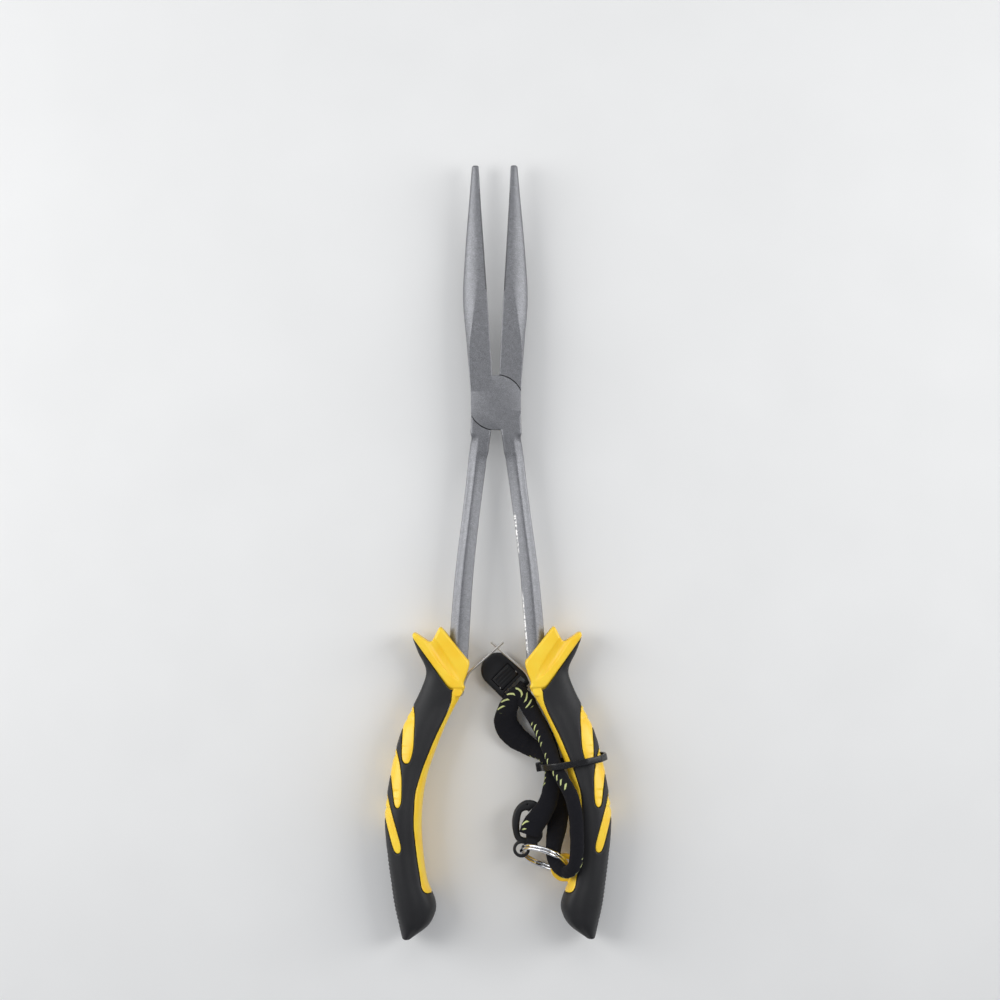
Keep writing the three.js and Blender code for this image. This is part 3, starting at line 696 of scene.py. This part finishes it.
def shank_ring(v, inner, outer, half, inner_share, outer_share):
    """A shank's section: a soft ridge with a facet falling to each side."""
    wide = outer - inner
    ridge = SHANK_RIDGE * wide
    inner_height, outer_height = half * min(1.0, inner_share), half * min(1.0, outer_share)
    c = SHANK_CHAMFER
    upper = [(0, 0), (0, inner_height - c), (0.3 * c, inner_height - 0.3 * c)]
    for t in np.linspace(0, 1, 8):
        upper.append((c + (ridge - c) * t, inner_height + (half - inner_height) * (1 - (1 - t) ** 1.6)))
    for t in np.linspace(0, 1, 8)[1:]:
        upper.append((ridge + (wide - c - ridge) * t, half - (half - outer_height) * t ** 1.5))
    upper += [(wide - 0.3 * c, outer_height - 0.3 * c), (wide, outer_height - c), (wide, 0)]
    ring = upper + [(s, -z) for s, z in reversed(upper[1:-1])]
    return [(inner + s, v, z) for s, z in ring]


def shank():
    rows = -np.concatenate([np.arange(3, 26, 0.4), np.arange(26, 93.6, 1.5)])
    tables = np.hstack([smooth(SHANK_STATIONS, rows), smooth(SHANK_EDGES, rows)])
    return skin([shank_ring(v, *values) for v, values in zip(rows, tables)])


def lever():
    """One forging: left jaw, upper half of the lap joint, right shank and the tang in the handle."""
    disc = [
        (max(-LOBE_HALF_WIDTH, min(LOBE_HALF_WIDTH, x)), max(LOBE_FOOT, y))
        for x, y in circle(0, 0, LOBE_RADIUS, 120)
    ]
    lobe = prism(disc, CLEARANCE / 2, JOINT_HALF, edge=0.12, segments=2)
    tang = sweep([(x, y, 0) for x, y in curve(TANG_PATH, 40)], oval(TANG_WIDTH, TANG_WIDTH, 6, 16))
    room = prism(circle(0, 0, LOBE_RADIUS + CLEARANCE, 120), -THROUGH, CLEARANCE / 2)
    body = joined(jaw(), shank())
    return joined(cut(body, room), lobe, tang)


def rivet():
    """Flush head in the back face and a shank that ends below the front one."""
    head = prism(circle(0, 0, RIVET_HEAD, 64), -JOINT_HALF, RIVET_HEAD_DEPTH - JOINT_HALF, edge=0.15)
    return joined(head, prism(circle(0, 0, RIVET_RADIUS, 48), -JOINT_HALF + 0.5, RIVET_END))


def levers():
    front = lever()
    back = copied(front)
    seat = circle(0, 0, RIVET_HEAD + CLEARANCE / 2, 64)
    sink = prism(seat, JOINT_HALF - RIVET_HEAD_DEPTH - RIVET_SEAT_GAP, THROUGH)
    finished("front_lever_forging", front, STEEL, RIGHT, ["front_lever"])
    finished("back_lever_forging", cut(back, sink), STEEL, LEFT, ["back_lever"], turned=True)
    finished("pivot_rivet_flush", rivet(), RIVET_STEEL, RIGHT, ["pivot_rivet"])


# ---------------------------------------------------------------- handles

HANDLE_START, HANDLE_END = -84, -194
# v, inner x, outer x, half thickness and squareness of the right handle
HANDLE_STATIONS = [
    (-84, 24, 31.1, 3.6, 2.6),
    (-90, 17, 28.8, 4.9, 2.8),
    (-97.2, 10.7, 25.8, 4.9, 2.8),
    (-103.4, 11.5, 27.6, 4.9, 2.8),
    (-108.8, 14.8, 30.2, 5.3, 2.7),
    (-116.4, 18.7, 34, 6.7, 2.6),
    (-125.5, 22.4, 37, 7.8, 2.6),
    (-134.2, 25.4, 38.9, 8.4, 2.6),
    (-148.7, 27.6, 41.0, 9.7, 2.6),
    (-163.2, 27.1, 40.2, 9.7, 2.6),
    (-172, 25.9, 39.1, 9.7, 2.6),
    (-184, 22.8, 37.3, 9, 2.5),
    (-189, 25.4, 36.1, 8, 2.4),
    (-194, 32, 34.9, 5, 2.2),
]
HANDLE_TOP = 9.74
COLLAR_OUTLINE = [
    (9.8, -93.9), (20.6, -80.5), (23.9, -86.9), (30.1, -82.7), (30.9, -84.3), (18, -102.4),
    (16.5, -103.4), (11.4, -103.4), (12.4, -101.6), (10.7, -97.2),
]
COLLAR_HALF, COLLAR_EDGE = 4.9, 0.45
RUBBER_OUTLINE = [
    (31.9, -83.2), (18.1, -102.7), (16.9, -103.8), (12, -103.8), (12, -200), (60, -200), (60, -83),
]
BAND_OUTLINE = [
    (16.5, -103.2), (16.4, -107), (17.9, -111.5), (22.9, -121.5), (27.2, -132), (29.9, -140.7),
    (30.5, -152), (29.4, -163), (27.3, -177), (18, -177), (18, -130), (8, -110), (8, -103.2),
]
TONGUES = [
    [(30.5, -108.5), (29.8, -113.2), (30.4, -124.7), (31.6, -129.5), (33.2, -130.2), (34.5, -128.7),
     (34.6, -125.2), (34.1, -115.2), (37, -113.2), (34, -106.7)],
    [(37, -124), (35.4, -129.2), (34.6, -135.2), (34.8, -144.2), (35.9, -146.2), (37.2, -145.2),
     (38.7, -133.5), (42, -132.2), (41, -122.7)],
    [(40.2, -140.5), (38.9, -145.2), (34.8, -160), (35.4, -162.2), (37, -162), (38, -159.7),
     (41.1, -148.2), (45, -147.2), (44, -139.2)],
]
SCALLOPS = [(-107.8, -116.8), (-123.6, -129.2), (-139.6, -147.6)]
SCALLOP_PITCH, SCALLOP_DEPTH = 3.0, 0.55
POCKET_OUTLINE = [
    (6, -92), (10.9, -92.4), (12.8, -96.5), (14.4, -101.6), (16.8, -103), (16.9, -106), (14.4, -107.2),
    (6, -107.2),
]
POCKET_HALF = 1.8
PIN_PLACE = (14.4, -104.5)
PIN_BOSS_RADIUS, PIN_BOSS_HALF = 1.7, 4.4
LUG = (23.9, -168.5)
LUG_RADIUS, LUG_HOLE, LUG_HALF = 5, 3.4, 2
LUG_TAIL = [(24.5, -172.8), (28.2, -170.5), (27.4, -176), (26.7, -176.8), (25.9, -176.6), (25.8, -174.6)]
SEAM = 0.14
GROOVE_TOP, GROOVE_FOOT = (25.0, -84.6), (13.6, -101.6)
GROOVE_RADIUS, GROOVE_RISE, GROOVE_END_RISE = 2.3, 1.25, 1.2
DISH_DEPTH, DISH_PLACE, DISH_WIDTH, DISH_TOP = 0.45, 0.36, 0.13, -104
RIB_PITCH, RIB_DEPTH, RIB_REACH = 1.5, 0.22, 1.6
RIBS_TOP, RIBS_FOOT = -160, -191
GRIP_GRAIN, CORE_GRAIN = 0.3, 0.25


def grown(points, distance):
    """An outline with its edges moved outwards."""
    ring = np.array(points, float)
    before, after = ring - np.roll(ring, 1, axis=0), np.roll(ring, -1, axis=0) - ring
    area = (ring[:, 0] * np.roll(ring[:, 1], -1) - np.roll(ring[:, 0], -1) * ring[:, 1]).sum()
    before /= np.linalg.norm(before, axis=1)[:, None] + 1e-9
    after /= np.linalg.norm(after, axis=1)[:, None] + 1e-9
    middle = before + after
    middle /= np.linalg.norm(middle, axis=1)[:, None]
    outward = np.stack([middle[:, 1], -middle[:, 0]], axis=1) * math.copysign(1, area)
    return ring + outward * distance


def scallop(v):
    """How far the tongues' outer edge is cut back, in small steps."""
    for top, foot in SCALLOPS:
        if foot < v < top:
            share = (top - v) / SCALLOP_PITCH % 1
            return SCALLOP_DEPTH * (1 - share) ** 1.5
    return 0.0


def whole_handle(stepped):
    """The handle's full form, with a shallow dish along each face, nearer to the fingers."""
    rows = np.linspace(HANDLE_START, HANDLE_END, 260)
    rings = []
    for v, (inner, outer, half, power) in zip(rows, smooth(HANDLE_STATIONS, rows)):
        outer -= scallop(v) if stepped else 0.0
        depth = DISH_DEPTH * min(1.0, max(0.0, (DISH_TOP - v) / 6))
        ring = []
        for x, z in oval(outer - inner, 2 * half, power, 96):
            share = x / (outer - inner) + 0.5
            dish = depth * math.exp(-((share - DISH_PLACE) / DISH_WIDTH) ** 2) * (abs(z) > 2)
            ring.append(((inner + outer) / 2 + x, v, math.copysign(min(HANDLE_TOP, abs(z) - dish), z)))
        rings.append(ring)
    return skin(rings)


def shown_outlines(growth):
    """The band and the tongues with soft corners, as cutting tools."""
    outlines = [rounded(BAND_OUTLINE, 3)] + [rounded(tongue, 2) for tongue in TONGUES]
    return [prism(grown(outline, growth), -THROUGH, THROUGH) for outline in outlines]


def groove(side):
    """A soft valley between the collar's face and the raised edge of the thumb guard."""
    (x0, y0), (x1, y1) = GROOVE_TOP, GROOVE_FOOT
    level = side * (COLLAR_HALF + GROOVE_RISE)
    end = side * (COLLAR_HALF + GROOVE_RISE + GROOVE_END_RISE)
    line = [(x0, y0, level), ((x0 + 2 * x1) / 3, (y0 + 2 * y1) / 3, level), (x1, y1, end)]
    return sweep(curve(line, 24), oval(2 * GROOVE_RADIUS, 2 * GROOVE_RADIUS, 2, 32))


def lug():
    x, y = LUG
    eye = prism(circle(x, y, LUG_RADIUS, 64), -LUG_HALF, LUG_HALF)
    tail = prism(rounded(LUG_TAIL, 0.8), -LUG_HALF, LUG_HALF)
    return cut(joined(eye, tail), prism(circle(x, y, LUG_HOLE, 48), -THROUGH, THROUGH))


def core():
    """Hard core: collar, finger band, three tongues, the spine that joins them and the pin's boss."""
    shown = shown_outlines(0)
    body = joined(shown[0], *shown[1:])
    body = combine(whole_handle(True), body, "INTERSECT")
    outline = rounded(COLLAR_OUTLINE, 1.5)
    collar = prism(outline, COLLAR_EDGE - COLLAR_HALF, COLLAR_HALF - COLLAR_EDGE)
    collar = joined(collar, prism(grown(outline, -COLLAR_EDGE), -COLLAR_HALF, COLLAR_HALF))
    collar = cut(collar, groove(1), groove(-1))
    spine = sweep([(x, y, 0) for x, y in curve(TANG_PATH[1:], 40)], oval(8.6, 7.2, 6, 24))
    boss = prism(circle(*PIN_PLACE, PIN_BOSS_RADIUS), -PIN_BOSS_HALF, PIN_BOSS_HALF)
    pocket = prism(POCKET_OUTLINE, -POCKET_HALF, POCKET_HALF)
    return cut(joined(body, collar, spine, boss), pocket)


def grip():
    """Soft rubber over the core, with a window for each part of the core that shows."""
    body = combine(whole_handle(False), prism(rounded(RUBBER_OUTLINE, 1.2), -THROUGH, THROUGH), "INTERSECT")
    return cut(body, *shown_outlines(SEAM))


def ribbed(thing):
    """Fine ribs pressed into the outer edge near the butt."""
    data = thing.data
    points = np.empty(3 * len(data.vertices))
    data.vertices.foreach_get("co", points)
    points = points.reshape(-1, 3)
    x, v = points[:, 0], points[:, 1]
    edge = smooth(HANDLE_STATIONS, np.clip(v, HANDLE_END, HANDLE_START))[:, 1]
    near = np.clip(1 - (edge - x) / RIB_REACH, 0, 1)
    span = np.clip((RIBS_TOP - v) / 4, 0, 1) * np.clip((v - RIBS_FOOT) / 3, 0, 1)
    points[:, 0] -= RIB_DEPTH * near * span * (0.5 + 0.5 * np.sin(2 * math.pi * v / RIB_PITCH))
    data.vertices.foreach_set("co", points.ravel())
    data.update()
    return thing


def handles():
    right_core, right_grip = core(), grip()
    left_core, left_grip = copied(right_core), copied(right_grip)
    joined(right_core, lug())
    cut(right_grip, prism(circle(*LUG, LUG_RADIUS + SEAM, 64), -LUG_HALF - SEAM, LUG_HALF + SEAM))
    for side, body, turned, inner, outer in (
        ("right", RIGHT, False, right_core, right_grip),
        ("left", LEFT, True, left_core, left_grip),
    ):
        moulded(inner, CORE_GRAIN, 5)
        ribbed(moulded(outer, GRIP_GRAIN, 5))
        core_node, grip_node = f"{side}_handle_core", f"{side}_grip"
        finished(core_node + "_moulding", inner, YELLOW, body, [core_node], turned, 60)
        finished(grip_node + "_rubber", outer, RUBBER, body, [grip_node], turned, 60)


# ---------------------------------------------------------------- spring wires, ring and hook

WIRE_RADIUS, WIRE_LEVEL = 0.45, -0.55
COIL_RADIUS = 1.8
COIL_TURNS, COIL_TOP, COIL_END = 1.6, 0.9, 205.9
WIRE_START = (12.75, -105.3)
WIRE_PATH = [
    (12.5, -103), (11.6, -100.3), (10.3, -97.9), (8.7, -96.3), (7.1, -94.9), (3.2, -91.5), (0.5, -89.1),
    (-2.2, -86.7),
]
RING_CENTRE = (16.5, -165, 0)
RING_RADIUS, RING_WIRE = 9.2, 1.1
RING_HEADING, RING_LEAN = -21.8, 65.8
RING_ENDS = (15, 705)  # degrees
HOOK_PATH = [
    (14.8, -148.4), (13.4, -145.7), (10.2, -145.2), (7.4, -147.4), (6.2, -151), (6.4, -155), (7.4, -157.8),
    (9, -158.65), (11.4, -158.65), (13.7, -158.65), (14.9, -157.4), (15, -154.6),
]
HOOK_THICKNESS, HOOK_WIDTH = 2.6, 2.2
# millimetres added to the frame's width, at which share of its length, and over what share
HOOK_SWELLS = [(2.1, 0.18, 0.09), (0.7, 0.42, 0.14)]
HOOK_DIMPLE, HOOK_DIMPLE_RADIUS = (10.6, -145.6), 0.35
HOOK_EYE, HOOK_EYE_RADIUS, HOOK_EYE_HOLE = (8.45, -161.75), 3.1, 2.05
GATE_PIVOT, GATE_RADIUS, GATE_WIDTH = (15, -154.6), 1.35, 1.8
GATE_STEPS = [(0, 0), (0.05, 2.6), (-0.1, 5.2)]
GATE_SEAT = 0.15


def spring_wire():
    """Coil round its pin and a straight arm with one soft bend."""
    turns = np.linspace(COIL_TURNS, 0, 60)
    angles = np.radians(COIL_END) + 2 * math.pi * turns
    levels = WIRE_LEVEL + (COIL_TOP - WIRE_LEVEL) * turns / COIL_TURNS
    x, y = PIN_PLACE
    coil = np.stack([x + COIL_RADIUS * np.cos(angles), y + COIL_RADIUS * np.sin(angles), levels], axis=1)
    arm = curve([WIRE_START] + WIRE_PATH, 60)[6:]
    path = np.vstack([coil, np.hstack([arm, np.full((len(arm), 1), WIRE_LEVEL)])])
    return sweep(path, oval(2 * WIRE_RADIUS, 2 * WIRE_RADIUS, 2, 16))


def split_ring():
    """Two turns of wire with one jog between them."""
    angles = np.radians(np.linspace(*RING_ENDS, 260))
    level = RING_WIRE * (1 / (1 + np.exp(-(angles - 2 * math.pi) / 0.1)) - 0.5)
    radius = RING_RADIUS - RING_WIRE / 2
    path = np.stack([radius * np.cos(angles), radius * np.sin(angles), level], axis=1)
    ring = sweep(path, oval(RING_WIRE, RING_WIRE * 0.96, 2.6, 16))
    heading = Matrix.Rotation(math.radians(RING_HEADING), 4, "Z")
    lean = Matrix.Rotation(math.radians(RING_LEAN), 4, "X")
    ring.data.transform(Matrix.Translation(RING_CENTRE) @ heading @ lean)
    return ring


def hook_section(share):
    """The frame grows inwards where its top turns down into its closed side."""
    extra = sum(size * math.exp(-((share - place) / span) ** 2) for size, place, span in HOOK_SWELLS)
    return [(s + extra / 2, t) for s, t in oval(HOOK_WIDTH + extra, HOOK_THICKNESS, 3.2, 24)]


def snap_hook_body():
    half = HOOK_THICKNESS / 2
    body = sweep([(x, y, 0) for x, y in curve(HOOK_PATH, 120)], hook_section)
    eye = prism(circle(*HOOK_EYE, HOOK_EYE_RADIUS), -half, half, edge=0.4)
    boss = prism(circle(*GATE_PIVOT, GATE_RADIUS), -half, half, edge=0.2)
    body = joined(body, eye, boss)
    hole = prism(circle(*HOOK_EYE, HOOK_EYE_HOLE), -THROUGH, THROUGH)
    seat = prism(circle(*GATE_PIVOT, GATE_RADIUS + CLEARANCE), -GATE_SEAT, THROUGH)
    dimple = prism(circle(*HOOK_DIMPLE, HOOK_DIMPLE_RADIUS), 0.6, THROUGH)
    return cut(body, hole, seat, dimple)


def snap_hook_gate():
    half = HOOK_THICKNESS / 2
    x, y = GATE_PIVOT
    path = curve([(x + across, y + along, 0) for across, along in GATE_STEPS], 24)
    leaf = sweep(path, oval(GATE_WIDTH, HOOK_THICKNESS, 3.2))
    barrel = prism(circle(x, y, GATE_RADIUS), -half, half, edge=0.2)
    room = prism(circle(x, y, GATE_RADIUS + 2 * CLEARANCE), -THROUGH, GATE_SEAT)
    return cut(joined(leaf, barrel), room)


def fittings():
    right, left = spring_wire(), spring_wire()
    metal, slot = SPRING_STEEL, "spring_steel"
    finished("right_spring_coil", right, metal, "right_wire", ["right_spring_wire"])
    finished("left_spring_coil", left, metal, "left_wire", ["left_spring_wire"], turned=True)
    finished("split_ring_wire", split_ring(), CHROME, RIGHT, ["split_ring"], sharp=70)
    body = moulded(snap_hook_body(), 0.15, 3)
    plastic, slot = HOOK_PLASTIC, "black_plastic"
    finished("snap_hook_frame", body, plastic, RIGHT, ["snap_hook_body"], sharp=60)
    gate = moulded(snap_hook_gate(), 0.13, 3)
    finished("snap_hook_leaf", gate, plastic, "hook_gate", ["snap_hook_gate"], sharp=60)


# ---------------------------------------------------------------- belt clip, sewn loops and cable tie

FLOOR = -PIVOT[2]
CLIP = (0.3, -97.2)
CLIP_HEADING = -45
CLIP_RADIUS, CLIP_LENGTH, CLIP_LOW, CLIP_HIGH = 6.3, 11.5, 0.3, 4.3
CLIP_BAR, CLIP_BAR_HALF, CLIP_BAR_LOW, CLIP_BAR_HIGH = 10.6, 0.9, 1.3, 3.1
CLIP_LEVER = (0.9, 6.1)
CLIP_LEVER_HALF, CLIP_LEVER_LOW, CLIP_LEVER_HIGH = 4, 2.5, 3.9
CLIP_PIN, CLIP_PIN_LEVEL, CLIP_BARREL = 5.2, 2.8, 1.15
CLIP_FLOOR, CLIP_CORNER = 1.2, 0.8
CLIP_WINDOW, CLIP_RAIL = 2.4, 2
LEVER_RIBS, LEVER_RIB_START, LEVER_RIB_PITCH, LEVER_RIB_WIDTH = 3, 0.5, 1.2, 0.6
LEVER_RIB_HALF = CLIP_LEVER_HALF - 0.6
# across the bar, height, wall and width of the strap's sewn ends
CLIP_LOOP, HOOK_LOOP = (4, 3.9, 0.6, 6), (4.8, 5.4, 0.7, 4.2)
HOOK_LOOP_PLACE = (12.2, -158.65, 0)
TIE_V, TIE_TILT = -133.5, 9.4
TIE_WIDTH, TIE_THICKNESS = 2.4, 0.9
TIE_OUTLINE = [
    (16.2, 3.2), (18.6, 1.3), (26, 1.1), (35, 1.1), (38.6, 5.4), (39.1, 12.5), (36.8, 17.4), (32, 18.9),
    (26, 18.9), (20.6, 18), (17, 14.6), (15.9, 9),
]
TIE_HEAD = (15.0, 7.6)
TIE_HEAD_SIZE = (2.3, 3.8, 3.1)


def rectangle(start, end, half):
    return [(start, -half), (end, -half), (end, half), (start, half)]


def on_clip(thing):
    """From the clip's own frame, along X from its round end and up from the surface."""
    place = Matrix.Translation((*CLIP, FLOOR)) @ Matrix.Rotation(math.radians(CLIP_HEADING), 4, "Z")
    thing.data.transform(place)
    return thing


def clip_body():
    turns = np.radians(np.linspace(90, 270, 49))
    inset, side = CLIP_LENGTH - CLIP_CORNER, CLIP_RADIUS - CLIP_CORNER
    outline = [(inset, -CLIP_RADIUS), (CLIP_LENGTH, -side), (CLIP_LENGTH, side), (inset, CLIP_RADIUS)]
    outline += [(CLIP_RADIUS * math.cos(a), CLIP_RADIUS * math.sin(a)) for a in turns]
    plate = prism(outline, CLIP_LOW, CLIP_HIGH, edge=0.9, segments=5)
    start, end = CLIP_LEVER
    bar, reach = CLIP_BAR - CLIP_BAR_HALF, CLIP_RADIUS - CLIP_RAIL
    room = rectangle(start - CLEARANCE, end + CLEARANCE, CLIP_LEVER_HALF + CLEARANCE)
    pocket = prism(room, CLIP_FLOOR, THROUGH)
    window = prism(rectangle(bar - CLIP_WINDOW, bar, reach), -THROUGH, THROUGH)
    past_bar = rectangle(bar - 0.5, 3 * THROUGH, reach)
    above = prism(past_bar, CLIP_BAR_HIGH, THROUGH)
    below = prism(past_bar, -THROUGH, CLIP_BAR_LOW)
    return eased(cut(plate, pocket, window, above, below), 0.14)


def rod(at, radius, half_length, level):
    """A rod across the clip."""
    turned = prism(circle(0, 0, radius, 32), -half_length, half_length, edge=0.15)
    turned.data.transform(Matrix.Translation((at, 0, level)) @ Matrix.Rotation(math.pi / 2, 4, "X"))
    return turned


def clip_lever():
    """A plate with grip ribs, thickened round its pin."""
    start, end = CLIP_LEVER
    plate = prism(rectangle(start, end, CLIP_LEVER_HALF), CLIP_LEVER_LOW, CLIP_LEVER_HIGH)
    barrel = rod(CLIP_PIN, CLIP_BARREL, CLIP_LEVER_HALF, CLIP_PIN_LEVEL)
    ribs = []
    for i in range(LEVER_RIBS):
        x = start + LEVER_RIB_START + LEVER_RIB_PITCH * i
        rib = rectangle(x, x + LEVER_RIB_WIDTH, LEVER_RIB_HALF)
        ribs.append(prism(rib, CLIP_LEVER_LOW, CLIP_HIGH))
    return eased(joined(plate, barrel, *ribs), 0.12)


def sewn_loop(length, height, wall, width):
    """The strap's sewn end: a flattened ring of tape, broad across the bar that it holds."""
    a, b = (length - wall) / 2, (height - wall) / 2
    angles = np.linspace(0, 2 * math.pi, 64, endpoint=False)
    path = [(a * math.cos(t), b * math.sin(t), 0) for t in angles]
    loop = sweep(path, oval(wall, width, 4, 20), closed=True)
    loop.data.transform(Matrix.Rotation(math.pi / 2, 4, "X"))
    return loop


def cable_tie():
    """A closed band with flat facets and a square head on it."""
    path = [(x, y, TIE_WIDTH / 2) for x, y in rounded(grown(TIE_OUTLINE, TIE_THICKNESS / 2), 1.1, 4)]
    band = sweep(path, oval(TIE_THICKNESS, TIE_WIDTH, 6, 16), closed=True)
    (x, y), (deep, tall, wide) = TIE_HEAD, TIE_HEAD_SIZE
    left, right, low, high = x - deep / 2, x + deep / 2, y - tall / 2, y + tall / 2
    corners = [(left, low), (right, low), (right, high), (left, high)]
    head = prism(rounded(corners, 0.5), (TIE_WIDTH - wide) / 2, (TIE_WIDTH + wide) / 2, edge=0.3)
    tie = joined(band, head)
    stand = Matrix.Rotation(math.radians(TIE_TILT), 4, "Z") @ Matrix.Rotation(math.pi / 2, 4, "X")
    tie.data.transform(Matrix.Translation((0, TIE_V, FLOOR)) @ stand)
    return tie


def clip_and_tie():
    plastic, slot = CLIP_PLASTIC, "clip_plastic"
    plate, lever_plate = on_clip(clip_body()), on_clip(clip_lever())
    finished("belt_clip_plate", plate, plastic, RIGHT, ["belt_clip_body"])
    finished("belt_clip_thumb_lever", lever_plate, plastic, "clip_thumb_lever", ["belt_clip_lever"])
    clip_loop = sewn_loop(*CLIP_LOOP)
    clip_loop.data.transform(Matrix.Translation((CLIP_BAR, 0, (CLIP_BAR_LOW + CLIP_BAR_HIGH) / 2)))
    on_clip(clip_loop)
    finished("strap_clip_end", clip_loop, TAPE, RIGHT, ["strap_clip_loop"], sharp=70)
    hook_loop = sewn_loop(*HOOK_LOOP)
    hook_loop.data.transform(Matrix.Translation(HOOK_LOOP_PLACE) @ Matrix.Rotation(math.pi / 2, 4, "Z"))
    finished("strap_hook_end", hook_loop, TAPE, RIGHT, ["strap_hook_loop"], sharp=70)
    finished("hank_tie_band", cable_tie(), TIE_NYLON, RIGHT, ["hank_tie"], sharp=30)


def dress_hidden_pins():
    """The CAD pins are right as they are and only get their metal."""
    for name in ("right_spring_pin", "left_spring_pin", "snap_hook_pin", "belt_clip_pin"):
        data = frame["nodes"][name].data
        for i in range(len(data.materials)):
            data.materials[i] = SPRING_STEEL


levers()
handles()
fittings()
clip_and_tie()
dress_hidden_pins()


# ---------------------------------------------------------------- floor and light

FLOOR_HALF, FLOOR_GAP = 4, 0.0002
SKY_TONE, SKY_POWER = (0.9, 0.93, 1.0, 1), 0.32
# name, place and size in metres, and watts
LIGHTS = [
    ("left_light", (-0.60, 0.12, 0.36), (0.35, 0.9), 4.0),
    ("right_light", (0.60, 0.12, 0.34), (0.3, 0.9), 3.5),
    ("top_light", (0.0, 0.55, 0.75), (0.8, 0.3), 1.2),
]


def floor():
    mesh = bmesh.new()
    for x, y in rectangle(-FLOOR_HALF, FLOOR_HALF, FLOOR_HALF):
        mesh.verts.new((x, y, 0))
    mesh.faces.new(mesh.verts)
    ground = loose(mesh, "floor")
    paint = Paint("floor")
    paint.colour(paint.ramp(paint.noise(40, 2.0), (0.3, (0.80, 0.80, 0.79)), (0.7, (0.82, 0.82, 0.81))))
    paint.fixed("Roughness", 0.9)
    ground.data.materials.append(paint.material)
    ground.location.z = -FLOOR_GAP


def soft_light(name, place, size, power):
    data = bpy.data.lights.new(name, "AREA")
    data.shape = "RECTANGLE"
    data.size, data.size_y = size
    data.energy = power
    light = bpy.data.objects.new(name, data)
    bpy.context.scene.collection.objects.link(light)
    light.location = place
    light.rotation_euler = (VIEW_CENTRE - Vector(place)).to_track_quat("-Z", "Y").to_euler()


def studio():
    floor()
    for light in LIGHTS:
        soft_light(*light)
    world = bpy.data.worlds.new("studio")
    world.use_nodes = True
    sky = world.node_tree.nodes["Background"].inputs
    sky["Color"].default_value = SKY_TONE
    sky["Strength"].default_value = SKY_POWER
    bpy.context.scene.world = world


studio()

bpy.context.view_layer.update()
